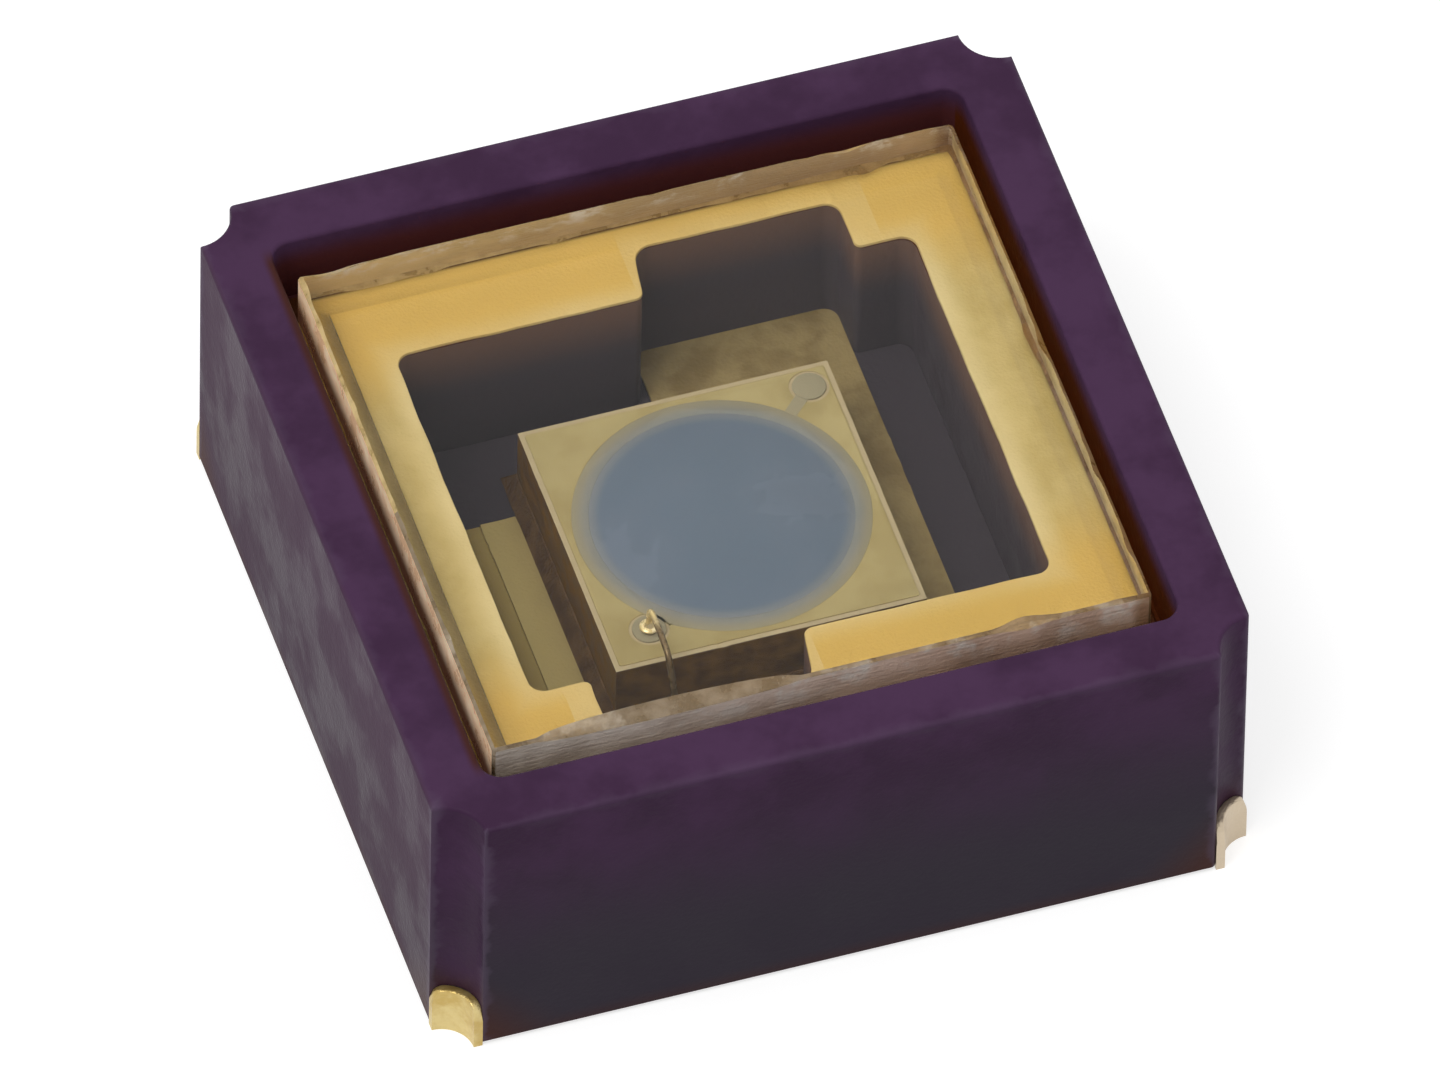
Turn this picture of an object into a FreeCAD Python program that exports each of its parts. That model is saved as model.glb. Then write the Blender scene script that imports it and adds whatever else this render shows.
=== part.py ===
import FreeCAD, Part
import math
import os

# A surface-mount infrared photodetector: a photodiode chip in a one-piece co-fired ceramic carrier,
# under a glass window that lies on a gold-printed shelf inside the rim. Millimetres. +Z points
# towards the light, +X runs along the front edge and +Y to the back. The origin is the centre of
# the plane on which the solder lands stand.

# Photodiode chip
chip_width = 1.22
chip_depth = 1.22
chip_height = 0.28
contact_ring_width = 0.065
contact_ring_edge_gap = 0.045
contact_pad_diameter = 0.13
contact_pad_height = 0.008
contact_neck_width = 0.05
wire_pad_side_gap = 0.115
wire_pad_end_gap = 0.095
spare_pad_edge_gap = 0.04
film_thickness = 0.004
saw_street = 0.02
film_gap = 0.012

# Die attach
attach_thickness = 0.02
attach_fillet_height = 0.06
attach_fillet_width = 0.05
attach_fillet_lip = 0.006

# Printed conductors: pads on the cavity floor, and tracks between the two tiers of the base
print_thickness = 0.012
die_pad_side_margin = 0.19
die_pad_end_margin = 0.04
die_pad_tab_depth = 0.93
bond_pad_gap = 0.14
track_width = 0.12
via_diameter = 0.1

# Stepped cavity
floor_side_margin = 0.22
floor_end_margin = 0.25
notch_depth = 0.24
notch_flare = 0.04
notch_mouth_radius = 0.03
cavity_corner_radius = 0.06
terminal_tier = 0.19
floor_tier = 0.11
cavity_height = 0.61

# Shelf, window and rim
shelf_side_width = 0.34
shelf_end_width = 0.50
shelf_print_wall_gap = 0.02
window_side_gap = 0.07
window_end_gap = 0.145
window_thickness = 0.26
window_chamfer = 0.015
window_sink = 0.028
seal_thickness = 0.02
seal_width = 0.08
recess_corner_radius = 0.08
rim_width = 0.24
rim_round = 0.03

# Corner grooves and their terminals
groove_radius = 0.16
plating_thickness = 0.035
plating_corner_radius = 0.06
land_length = 0.62
land_width = 0.62
land_thickness = 0.02
land_setback = 0.04
index_chamfer = 0.18

# Bond wire
wire_diameter = 0.025
ball_diameter = 0.075
ball_height = 0.02
ball_edge_radius = 0.007
ball_shoulder_diameter = 0.05
ball_cone_height = 0.018
loop_height = 0.13
loop_overhang = 0.075
loop_neck_radius = 0.04
loop_bend_radius = 0.06
loop_heel_radius = 0.05
stitch_diameter = 0.06
stitch_height = 0.012

# Plan sizes, from the chip outwards
die_pad_width = chip_width + 2 * die_pad_side_margin
cavity_width = die_pad_width + 2 * floor_side_margin
cavity_depth = chip_depth + 2 * floor_end_margin
notch_width = die_pad_width / 2
recess_width = cavity_width + 2 * shelf_side_width
recess_depth = cavity_depth + 2 * shelf_end_width
body_width = recess_width + 2 * rim_width
body_depth = recess_depth + 2 * rim_width
window_width = recess_width - 2 * window_side_gap
window_depth = recess_depth - 2 * window_end_gap
shelf_print_width = recess_width - 2 * shelf_print_wall_gap
shelf_print_depth = recess_depth - 2 * shelf_print_wall_gap
shelf_print_corner_radius = recess_corner_radius - shelf_print_wall_gap
notch_wall = cavity_depth / 2 + notch_depth
track_line = (notch_wall + body_depth / 2) / 2
bond_pad_edge = -(chip_depth / 2 + die_pad_end_margin + bond_pad_gap)
bond_pad_centre = (bond_pad_edge - notch_wall) / 2

# Levels, from the seating plane upwards
ceramic_bottom = land_thickness
track_level = ceramic_bottom + terminal_tier
track_top = track_level + print_thickness
floor_level = track_level + floor_tier
pad_level = floor_level + print_thickness
chip_bottom = pad_level + attach_thickness
chip_top = chip_bottom + chip_height
shelf_level = floor_level + cavity_height
shelf_print_top = shelf_level + print_thickness
window_bottom = shelf_print_top + seal_thickness
window_top = window_bottom + window_thickness
body_top = window_top + window_sink

# Places on the chip
contact_ring_radius = min(chip_width, chip_depth) / 2 - contact_ring_edge_gap
active_diameter = 2 * (contact_ring_radius - contact_ring_width)
wire_pad_reach = (
    chip_width / 2 - wire_pad_side_gap - contact_pad_diameter / 2,
    chip_depth / 2 - wire_pad_end_gap - contact_pad_diameter / 2,
)
wire_pad = (-wire_pad_reach[0], -wire_pad_reach[1])
spare_pad = (
    chip_width / 2 - spare_pad_edge_gap - contact_pad_diameter / 2,
    chip_depth / 2 - spare_pad_edge_gap - contact_pad_diameter / 2,
)

# The four corners, by name and by the signs of their X and Y
corners = {
    "front_left": (-1, -1),
    "front_right": (1, -1),
    "back_right": (1, 1),
    "back_left": (-1, 1),
}
index_terminal = "front_left"
inward_bearing = 45

# Two lengths closer than this are taken as equal
tolerance = 1e-6


def centred_block(width, depth, bottom, height, centre=(0.0, 0.0)):
    """A block with upright sides, centred on a point of the plan."""
    x, y = centre
    return Part.makeBox(width, depth, height, FreeCAD.Vector(x - width / 2, y - depth / 2, bottom))


def block_between(low, high, bottom, height):
    """A block with upright sides between two opposite corners of the plan."""
    corner = FreeCAD.Vector(low[0], low[1], bottom)
    return Part.makeBox(high[0] - low[0], high[1] - low[1], height, corner)


def post(radius, bottom, height, centre=(0.0, 0.0)):
    """An upright cylinder."""
    return Part.makeCylinder(radius, height, FreeCAD.Vector(centre[0], centre[1], bottom))


def prism(outline, bottom, height):
    """An upright prism on a closed outline of plan points."""
    points = [FreeCAD.Vector(x, y, bottom) for x, y in outline]
    face = Part.Face(Part.makePolygon(points + points[:1]))
    return face.extrude(FreeCAD.Vector(0, 0, height))


def is_upright(edge):
    """True for a straight edge that runs along Z."""
    start, end = edge.Vertexes[0].Point, edge.Vertexes[-1].Point
    return math.hypot(end.x - start.x, end.y - start.y) < tolerance < abs(end.z - start.z)


def round_upright_edges(solid, radius, chosen=lambda point: True):
    """The solid with the chosen upright edges rounded, or all of them."""
    edges = [edge for edge in solid.Edges if is_upright(edge) and chosen(edge.Vertexes[0].Point)]
    return solid.makeFillet(radius, edges)


def edges_at_level(solid, level):
    """The edges that lie in one horizontal plane."""
    return [edge for edge in solid.Edges if all(abs(v.Point.z - level) < tolerance for v in edge.Vertexes)]


def half_turn(shape):
    """A copy of the shape, turned by 180 degrees about Z."""
    copy = shape.copy()
    copy.rotate(FreeCAD.Vector(0, 0, 0), FreeCAD.Vector(0, 0, 1), 180)
    return copy


def cavity(bottom, height):
    """The stepped cavity: an opening with one notch in each end, alike after half a turn."""
    side, end = cavity_width / 2, cavity_depth / 2
    notch = [(notch_width, end), (notch_width, notch_wall), (0, notch_wall), (-notch_flare, end)]
    half = [(side, -end), (side, end)] + notch
    opening = prism(half + [(-x, -y) for x, y in half], bottom, height)

    def at_mouth(point):
        return abs(abs(point.y) - end) < tolerance and abs(point.x) < side - tolerance

    def at_outer_wall(point):
        return abs(point.x) > side - tolerance or abs(point.y) > notch_wall - tolerance

    opening = round_upright_edges(opening, notch_mouth_radius, at_mouth)
    return round_upright_edges(opening, cavity_corner_radius, at_outer_wall)


def groove(corner, radius):
    """The round cutter of one corner groove, over the whole height."""
    x, y = corner
    return post(radius, 0, body_top, (x * body_width / 2, y * body_depth / 2))


def track(points):
    """A printed track along straight runs, with round turns."""
    pieces = []
    for start, end in zip(points, points[1:]):
        length = math.dist(start, end)
        run = Part.makeBox(length, track_width, print_thickness, FreeCAD.Vector(0, -track_width / 2, 0))
        turn = math.degrees(math.atan2(end[1] - start[1], end[0] - start[0]))
        run.rotate(FreeCAD.Vector(0, 0, 0), FreeCAD.Vector(0, 0, 1), turn)
        run.translate(FreeCAD.Vector(start[0], start[1], track_level))
        pieces += [run, post(track_width / 2, track_level, print_thickness, end)]
    return pieces[0].multiFuse(pieces[1:])


def anode_track():
    """The buried conductor from the bond pad, down a via and out to the two front terminals."""
    below_pad = (-notch_width / 2, bond_pad_centre)
    metal = [post(via_diameter / 2, track_level, floor_level - track_level, below_pad)]
    reach = body_depth / 2 - track_line
    for side in (-1, 1):
        bend = (side * (body_width / 2 - reach), -track_line)
        tip = (side * (body_width / 2 - groove_radius / 2), -(body_depth / 2 - groove_radius / 2))
        run = track([below_pad, (below_pad[0], -track_line), bend, tip])
        metal.append(run.cut(groove((side, -1), groove_radius)))
    return metal[0].multiFuse(metal[1:]).removeSplitter()


def die_pad():
    """The pad that carries the chip: a seat, side tabs and the floor of the back notch."""
    seat_width = chip_width + 2 * die_pad_end_margin
    seat_depth = chip_depth + 2 * die_pad_end_margin
    seat = centred_block(seat_width, seat_depth, floor_level, print_thickness)
    tabs = centred_block(die_pad_width, die_pad_tab_depth, floor_level, print_thickness)
    notch_floor = block_between((0, 0), (notch_width, notch_wall), floor_level, print_thickness)
    pad = seat.multiFuse([tabs, notch_floor]).removeSplitter()
    return pad.common(cavity(floor_level, print_thickness))


def bond_pad():
    """The wire's landing pad on the floor of the front notch."""
    pad = block_between((-notch_width, -notch_wall), (0, bond_pad_edge), floor_level, print_thickness)
    return pad.common(cavity(floor_level, print_thickness))


def ceramic_body(conductors):
    """The one-piece carrier: base, cavity tier and rim, with a groove down each corner."""
    body = centred_block(body_width, body_depth, ceramic_bottom, body_top - ceramic_bottom)
    body = body.cut([groove(corner, groove_radius) for corner in corners.values()])
    recess = centred_block(recess_width, recess_depth, shelf_level, body_top - shelf_level)
    body = body.cut(round_upright_edges(recess, recess_corner_radius))
    body = body.cut(cavity(floor_level, cavity_height))
    body = body.makeFillet(rim_round, edges_at_level(body, body_top))
    return body.cut(conductors)


def shelf_print():
    """The gold frame printed on the shelf, from just clear of the recess walls in to the cavity."""
    frame = centred_block(shelf_print_width, shelf_print_depth, shelf_level, print_thickness)
    frame = round_upright_edges(frame, shelf_print_corner_radius)
    return frame.cut(cavity(shelf_level, print_thickness))


def window_seal():
    """The band of adhesive that holds the window on the gold frame."""
    width = window_width - 2 * window_chamfer
    depth = window_depth - 2 * window_chamfer
    band = centred_block(width, depth, shelf_print_top, seal_thickness)
    inside = centred_block(width - 2 * seal_width, depth - 2 * seal_width, shelf_print_top, seal_thickness)
    return band.cut(inside)


def window():
    """The diced glass window, with its sharp edges taken off."""
    plate = centred_block(window_width, window_depth, window_bottom, window_thickness)
    return plate.makeChamfer(window_chamfer, plate.Edges)


def terminal(name):
    """One solder terminal: the metal of the corner groove and the land under the ceramic."""
    origin = FreeCAD.Vector(0, 0, 0)
    up = FreeCAD.Vector(0, 0, 1)
    bore = post(groove_radius - plating_thickness, 0, track_top)
    # The lining's outline as seen along the diagonal: a block with its two upper long edges rounded
    shield = centred_block(2 * groove_radius, math.sqrt(2) * groove_radius, 0, track_top)
    upper_edges = edges_at_level(shield, track_top)
    long_edges = [edge for edge in upper_edges if edge.BoundBox.YLength < tolerance]
    shield = shield.makeFillet(plating_corner_radius, long_edges)
    shield.rotate(origin, up, inward_bearing)
    quarter = block_between((0, 0), (groove_radius, groove_radius), 0, track_top)
    lining = post(groove_radius, 0, track_top).common(quarter).common(shield).cut(bore)
    far_corner = (land_setback + land_length, land_setback + land_width)
    land = block_between((land_setback, land_setback), far_corner, 0, land_thickness)
    if name == index_terminal:
        inner = [edge for edge in land.Edges if is_upright(edge) and edge.Vertexes[0].X > land_length
                 and edge.Vertexes[0].Y > land_width]
        land = land.makeChamfer(index_chamfer, inner)
    shape = land.cut(bore).fuse(lining).removeSplitter()
    x, y = corners[name]
    if x > 0:
        shape = shape.mirror(origin, FreeCAD.Vector(1, 0, 0))
    if y > 0:
        shape = shape.mirror(origin, FreeCAD.Vector(0, 1, 0))
    shape.translate(FreeCAD.Vector(x * body_width / 2, y * body_depth / 2, 0))
    return shape


def chip():
    """The semiconductor die."""
    return centred_block(chip_width, chip_depth, chip_bottom + film_thickness, chip_height - film_thickness)


def back_contact():
    """The metal film on the die's underside."""
    return centred_block(chip_width, chip_depth, chip_bottom, film_thickness)


def die_attach():
    """The joint under the chip, with the fillet that climbs its sides."""
    wires = []
    for level, margin in ((pad_level, attach_fillet_width), (pad_level + attach_fillet_height, attach_fillet_lip)):
        width, depth = chip_width + 2 * margin, chip_depth + 2 * margin
        wires.append(Part.makePlane(width, depth, FreeCAD.Vector(-width / 2, -depth / 2, level)).OuterWire)
    bed = Part.makeLoft(wires, True, True)
    return bed.cut(centred_block(chip_width, chip_depth, chip_bottom, chip_height))


def active_area():
    """The coated round window of the chip through which light reaches the junction."""
    return post(active_diameter / 2, chip_top, film_thickness)


def top_contact():
    """The ring contact round the active area, with two round bond pads joined to it by necks."""
    ring = post(contact_ring_radius, chip_top, film_thickness)
    metal = [ring]
    for pad in (wire_pad, spare_pad):
        metal.append(post(contact_pad_diameter / 2, chip_top, contact_pad_height, pad))
        neck = Part.makeBox(
            math.hypot(*pad), contact_neck_width, film_thickness, FreeCAD.Vector(0, -contact_neck_width / 2, chip_top)
        )
        neck.rotate(FreeCAD.Vector(0, 0, 0), FreeCAD.Vector(0, 0, 1), math.degrees(math.atan2(pad[1], pad[0])))
        metal.append(neck)
    fused = metal[0].multiFuse(metal[1:])
    return fused.cut(active_area()).removeSplitter()


def field_layer():
    """The light-shielding layer on the rest of the chip's top, clear of the contact's metal."""
    width, depth = chip_width - 2 * saw_street, chip_depth - 2 * saw_street
    layer = centred_block(width, depth, chip_top, film_thickness)
    layer = layer.cut(post(contact_ring_radius, chip_top, film_thickness))
    hole_radius = contact_pad_diameter / 2 + film_gap
    holes = [post(hole_radius, chip_top, film_thickness, pad) for pad in (wire_pad, spare_pad)]
    return layer.cut(holes).cut(top_contact())


def rounded_path(points, radii):
    """A wire of straight runs, with a tangent arc of the given radius at each inner point."""
    edges = []
    start = points[0]
    for before, corner, after, radius in zip(points, points[1:], points[2:], radii):
        back = (before - corner).normalize()
        ahead = (after - corner).normalize()
        half_angle = back.getAngle(ahead) / 2
        reach = radius / math.tan(half_angle)
        middle = (back + ahead).normalize() * (radius / math.sin(half_angle) - radius)
        arc_start, arc_end = corner + back * reach, corner + ahead * reach
        edges.append(Part.LineSegment(start, arc_start).toShape())
        edges.append(Part.Arc(arc_start, corner + middle, arc_end).toShape())
        start = arc_end
    edges.append(Part.LineSegment(start, points[-1]).toShape())
    return Part.Wire(edges)


def bond_wire():
    """The gold wire: a ball on the chip's front pad, a low loop and a stitch on the bond pad."""
    x, y = wire_pad
    ball_bottom = chip_top + contact_pad_height
    ball_top = ball_bottom + ball_height + ball_cone_height
    radius = wire_diameter / 2
    chip_edge = -chip_depth / 2
    run_level = pad_level + radius
    path = rounded_path(
        [
            FreeCAD.Vector(x, y, ball_top),
            FreeCAD.Vector(x, y, chip_top + loop_height),
            FreeCAD.Vector(x, chip_edge - loop_overhang, chip_top + loop_height),
            FreeCAD.Vector(x, bond_pad_centre + stitch_diameter, run_level),
            FreeCAD.Vector(x, bond_pad_centre, run_level),
        ],
        [loop_neck_radius, loop_bend_radius, loop_heel_radius],
    )
    section = Part.Wire(Part.makeCircle(radius, FreeCAD.Vector(x, y, ball_top), FreeCAD.Vector(0, 0, 1)))
    wire = path.makePipeShell([section], True, False)
    ball = post(ball_diameter / 2, ball_bottom, ball_height, (x, y))
    ball = ball.makeFillet(ball_edge_radius, [e for e in ball.Edges if isinstance(e.Curve, Part.Circle)])
    shoulder = FreeCAD.Vector(x, y, ball_bottom + ball_height)
    cone = Part.makeCone(ball_shoulder_diameter / 2, radius, ball_cone_height, shoulder)
    stitch = post(stitch_diameter / 2, pad_level, stitch_height, (x, bond_pad_centre))
    return wire.multiFuse([ball, cone, stitch]).removeSplitter()


def build():
    """All pieces, by name."""
    front_track = anode_track()
    back_track = half_turn(front_track)
    pieces = {
        "ceramic_body": ceramic_body([front_track, back_track]),
        "shelf_metallisation": shelf_print(),
        "window_seal": window_seal(),
        "window_glass": window(),
        "die_pad": die_pad(),
        "bond_pad": bond_pad(),
        "anode_track": front_track,
        "cathode_track": back_track,
        "die_attach": die_attach(),
        "chip_back_contact": back_contact(),
        "photodiode_chip": chip(),
        "chip_active_area": active_area(),
        "chip_top_contact": top_contact(),
        "chip_field_layer": field_layer(),
        "bond_wire": bond_wire(),
    }
    for name in corners:
        pieces["terminal_" + name] = terminal(name)
    return pieces


os.makedirs("parts", exist_ok=True)
for name, shape in build().items():
    solids = shape.Solids
    print(name, "solids", len(solids), "valid", shape.isValid(), "volume", round(shape.Volume, 6))
    shape.exportStep(os.path.join("parts", name + ".step"))
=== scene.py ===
"""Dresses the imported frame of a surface-mount infrared photodetector: a dark co-fired ceramic
carrier with gold prints, a diced glass window and a photodiode chip under it."""

import logging
import math
from collections.abc import Callable, Sequence
from dataclasses import dataclass
from enum import Enum

import bmesh
import bpy
from mathutils import Euler, Matrix, Vector, noise


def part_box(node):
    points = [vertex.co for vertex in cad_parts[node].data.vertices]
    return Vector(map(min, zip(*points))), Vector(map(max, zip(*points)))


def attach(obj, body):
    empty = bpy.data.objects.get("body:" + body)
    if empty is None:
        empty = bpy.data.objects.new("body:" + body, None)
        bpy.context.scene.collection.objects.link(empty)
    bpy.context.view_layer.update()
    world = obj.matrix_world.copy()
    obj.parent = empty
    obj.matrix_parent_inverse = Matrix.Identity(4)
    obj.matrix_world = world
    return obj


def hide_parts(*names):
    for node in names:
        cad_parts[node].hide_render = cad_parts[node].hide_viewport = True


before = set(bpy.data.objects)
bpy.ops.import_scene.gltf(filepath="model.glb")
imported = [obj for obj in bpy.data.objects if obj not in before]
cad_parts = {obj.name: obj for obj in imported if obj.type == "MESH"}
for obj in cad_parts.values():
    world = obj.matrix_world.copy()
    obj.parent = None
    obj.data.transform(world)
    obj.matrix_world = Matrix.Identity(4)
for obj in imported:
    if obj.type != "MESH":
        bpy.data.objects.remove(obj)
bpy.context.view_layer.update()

MM = 0.001
BODY = "root"
TINY = 1e-5
QUARTER = math.pi / 2
SHARP = QUARTER / 2
LOG = logging.getLogger("detector")

Colour = tuple[float, float, float, float]
Pair = tuple[float, float]
Socket = bpy.types.NodeSocket
Shape = bmesh.types.BMesh
Face = bmesh.types.BMFace
Edge = bmesh.types.BMEdge
Vert = bmesh.types.BMVert

WHITE: Colour = (1.0, 1.0, 1.0, 1.0)


class Corner(Enum):
    """The four corners of the carrier, as the signs of their X and Y."""

    FRONT_LEFT = (-1, -1)
    FRONT_RIGHT = (1, -1)
    BACK_RIGHT = (1, 1)
    BACK_LEFT = (-1, 1)


class GlassFace(Enum):
    """The kinds of face on the diced window, as their material index."""

    POLISHED = 0
    LEFT_SIDE = 1
    RIGHT_SIDE = 2
    SAWN_END = 3
    BROKEN_EDGE = 4


def tone(red: int, green: int, blue: int) -> Colour:
    """Turns a colour as a screen shows it into the linear colour that a shader takes.

    Args:
        red: Red, 0 to 255.
        green: Green, 0 to 255.
        blue: Blue, 0 to 255.

    Returns:
        The linear colour with full alpha.
    """
    shares = [value / 255 for value in (red, green, blue)]
    linear = [s / 12.92 if s <= 0.04045 else ((s + 0.055) / 1.055) ** 2.4 for s in shares]
    return (linear[0], linear[1], linear[2], 1.0)


def node_box_mm(node: str) -> tuple[Vector, Vector]:
    """Gives the lowest and highest corner of a CAD node in millimetres."""
    low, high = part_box(node)
    return low / MM, high / MM


def operator(operation: str, swapped: bool = False) -> Callable[..., "Value"]:
    """Makes an operator of Value from a Math node.

    Args:
        operation: What the node does.
        swapped: True if the value comes second.

    Returns:
        The operator.
    """

    def apply(value: "Value", other: object = 0.0) -> "Value":
        """Adds the node and gives its result."""
        return value.bench.reckon(operation, *((other, value) if swapped else (value, other)))

    return apply


@dataclass(frozen=True, eq=False)
class Value:
    """What a node gives out. Python's operators work on it: | is the greater of two, & the smaller."""

    bench: "NodeBench"
    socket: Socket

    __add__ = operator("ADD")
    __sub__ = operator("SUBTRACT")
    __rsub__ = operator("SUBTRACT", swapped=True)
    __mul__ = operator("MULTIPLY")
    __abs__ = operator("ABSOLUTE")
    __lt__ = operator("LESS_THAN")
    __gt__ = operator("GREATER_THAN")
    __or__ = operator("MAXIMUM")
    __and__ = operator("MINIMUM")

    def ease(self, low: object, high: object, to_low: object = 0.0, to_high: object = 1.0) -> "Value":
        """Eases the value from one range into another.

        Args:
            low: Start of its range.
            high: End of its range.
            to_low: What the start becomes.
            to_high: What the end becomes.

        Returns:
            The eased value.
        """
        inputs = {"Value": self, "From Min": low, "From Max": high, "To Min": to_low, "To Max": to_high}
        return Value(self.bench, self.bench.place("MapRange", inputs, interpolation_type="SMOOTHSTEP").outputs[0])


class NodeBench:
    """Places and wires the nodes of one material, world or node group."""

    COLOUR_A, COLOUR_B, COLOUR_OUT = 6, 7, 2

    def __init__(self, tree: bpy.types.NodeTree) -> None:
        """Clears the tree that the nodes go into."""
        self.tree = tree
        tree.nodes.clear()

    def place(self, kind: str, inputs: dict | None = None, **settings: object) -> bpy.types.Node:
        """Adds a node and feeds its inputs.

        Args:
            kind: The node's type name, without the ShaderNode before it.
            inputs: By name or index, what feeds each: a value, a node's first output, a socket or a constant.
            settings: Attributes of the node itself.

        Returns:
            The node.
        """
        node = self.tree.nodes.new(kind if kind.startswith("NodeGroup") else "ShaderNode" + kind)
        for key, setting in settings.items():
            setattr(node, key, setting)
        for key, source in (inputs or {}).items():
            if isinstance(source, Value):
                source = source.socket
            elif isinstance(source, bpy.types.Node):
                source = source.outputs[0]
            if isinstance(source, Socket):
                self.tree.links.new(source, node.inputs[key])
            else:
                node.inputs[key].default_value = source
        return node

    def reckon(self, operation: str, *sources: object) -> Value:
        """Adds a Math node and gives its result."""
        return Value(self, self.place("Math", dict(enumerate(sources)), operation=operation).outputs[0])

    def blend(self, mask: object, first: object, second: object, mode: str = "MIX") -> Socket:
        """Mixes a second colour into a first one.

        Args:
            mask: The share of the second colour.
            first: The first colour.
            second: The second colour.
            mode: How the second one acts where the mask is full.

        Returns:
            The mixed colour.
        """
        inputs = {0: mask, self.COLOUR_A: first, self.COLOUR_B: second}
        return self.place("Mix", inputs, data_type="RGBA", blend_type=mode).outputs[self.COLOUR_OUT]

    def noise(self, spot: object, scale: object, detail: object, roughness: float = 0.5) -> Value:
        """Adds a noise texture and gives its height."""
        inputs = {"Vector": spot, "Scale": scale, "Detail": detail, "Roughness": roughness}
        return Value(self, self.place("TexNoise", inputs).outputs[0])

    def axes(self, spot: object) -> list[Value]:
        """Gives the X, Y and Z of a place."""
        return [Value(self, socket) for socket in self.place("SeparateXYZ", {0: spot}).outputs]


def mottle_mask(bench: NodeBench, spot: Value, scale: Value, detail: Value, low: Value, high: Value) -> Value:
    """Soft blotches: a mask from noise between two levels."""
    return bench.noise(spot, scale, detail, roughness=0.6).ease(low, high)


def grain_height(bench: NodeBench, spot: Value, scale: Value, swell: Value, share: Value) -> Value:
    """The height of a fine grain on a slow swell."""
    return bench.noise(spot, scale, 3.0) + bench.noise(spot, swell, 2.0) * share


def wear_and_highlight_mask(bench: NodeBench, spot: Value, *sizes: Value) -> Value:
    """Marks a block's outer edges, for wear, and its corner grooves' mouths, for wear with a painted highlight,
    broken up as wear is.

    Args:
        bench: The bench of the group.
        spot: The place on the block.
        sizes: Its half width, half depth, top, groove radius, the worn band's width and the break-up's scale.

    Returns:
        The mask.
    """
    width, depth, top, groove, band, breakup = sizes
    x, y, z = bench.axes(spot)
    side, end, under = width - abs(x), depth - abs(y), top - z
    nearest = (side | end) & (side | under) & (end | under)
    mouth = (side | abs(end - groove)) & (end | abs(side - groove))
    reach = band * bench.noise(spot, breakup, 3.0).ease(0.3, 0.7, 0.3, 1.4)
    return nearest.ease(0.0, reach, 0.35, 0.0) | mouth.ease(0.0, reach, 1.0, 0.0)


def line_height(bench: NodeBench, spot: Value, along: Value, across: Value) -> Value:
    """Fine level lines, as a dicing blade or a stack of tape layers leaves them."""
    stretch = bench.place("CombineXYZ", {0: along, 1: along, 2: across})
    return bench.noise(bench.place("VectorMath", {0: spot, 1: stretch}, operation="MULTIPLY"), 1.0, 3.0)


@dataclass(frozen=True)
class Effect:
    """A surface effect that several finishes share, built once as a node group.

    Attributes:
        name: The group's name.
        result: The name of its output.
        numbers: Its number inputs with their defaults.
        recipe: Works out the result from a bench, the place and the numbers.
    """

    name: str
    result: str
    numbers: dict[str, float]
    recipe: Callable[..., Value]

    def tree(self) -> bpy.types.NodeTree:
        """Gives the node group, and builds it when it is first asked for.

        Returns:
            The group.
        """
        if self.name in bpy.data.node_groups:
            return bpy.data.node_groups[self.name]
        tree = bpy.data.node_groups.new(self.name, "ShaderNodeTree")
        tree.interface.new_socket("Place", in_out="INPUT", socket_type="NodeSocketVector")
        for key, number in self.numbers.items():
            tree.interface.new_socket(key, in_out="INPUT", socket_type="NodeSocketFloat").default_value = number
        tree.interface.new_socket(self.result, in_out="OUTPUT", socket_type="NodeSocketFloat")
        bench = NodeBench(tree)
        given = bench.place("NodeGroupInput").outputs
        values = [Value(bench, given[key]) for key in ("Place", *self.numbers)]
        bench.place("NodeGroupOutput", {0: self.recipe(bench, *values)})
        return tree


MOTTLE = Effect("mottle", "Mask", {"Scale": 3.0, "Detail": 4.0, "Low": 0.35, "High": 0.65}, mottle_mask)
GRAIN = Effect("grain", "Height", {"Scale": 60.0, "Swell": 6.0, "Swell Share": 0.5}, grain_height)
# Wear on the outer edges, and a painted highlight on the grooves' mouths as well.
EDGE_WEAR_AND_HIGHLIGHT = Effect(
    "edge_wear_and_highlight", "Mask",
    {"Half Width": 1.6, "Half Depth": 1.6, "Top": 1.25, "Groove": 0.16, "Band": 0.05, "Breakup": 8.0}, wear_and_highlight_mask,
)
SAW_LINES = Effect("saw_lines", "Height", {"Along": 1.0, "Across": 60.0}, line_height)


class Ground(NodeBench):
    """The bench of a surface, with the place on it in millimetres and the mask of its blotches."""

    def __init__(self, tree: bpy.types.NodeTree, blotch: float) -> None:
        """Measures the place and lays the blotches.

        Args:
            tree: The material's tree.
            blotch: Blotches per millimetre.
        """
        super().__init__(tree)
        inputs = {0: self.place("TexCoord").outputs["Object"], "Scale": 1 / MM}
        self.spot = self.place("VectorMath", inputs, operation="SCALE")
        self.x, self.y, self.z = self.axes(self.spot)
        self.mask = self.effect(MOTTLE, {"Scale": blotch})

    def effect(self, effect: Effect, numbers: dict[str, object] | None = None) -> Value:
        """Places a shared effect, with those of its numbers that differ from their defaults."""
        inputs = {"Place": self.spot} | (numbers or {})
        return Value(self, self.place("Group", inputs, node_tree=effect.tree()).outputs[0])


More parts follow.
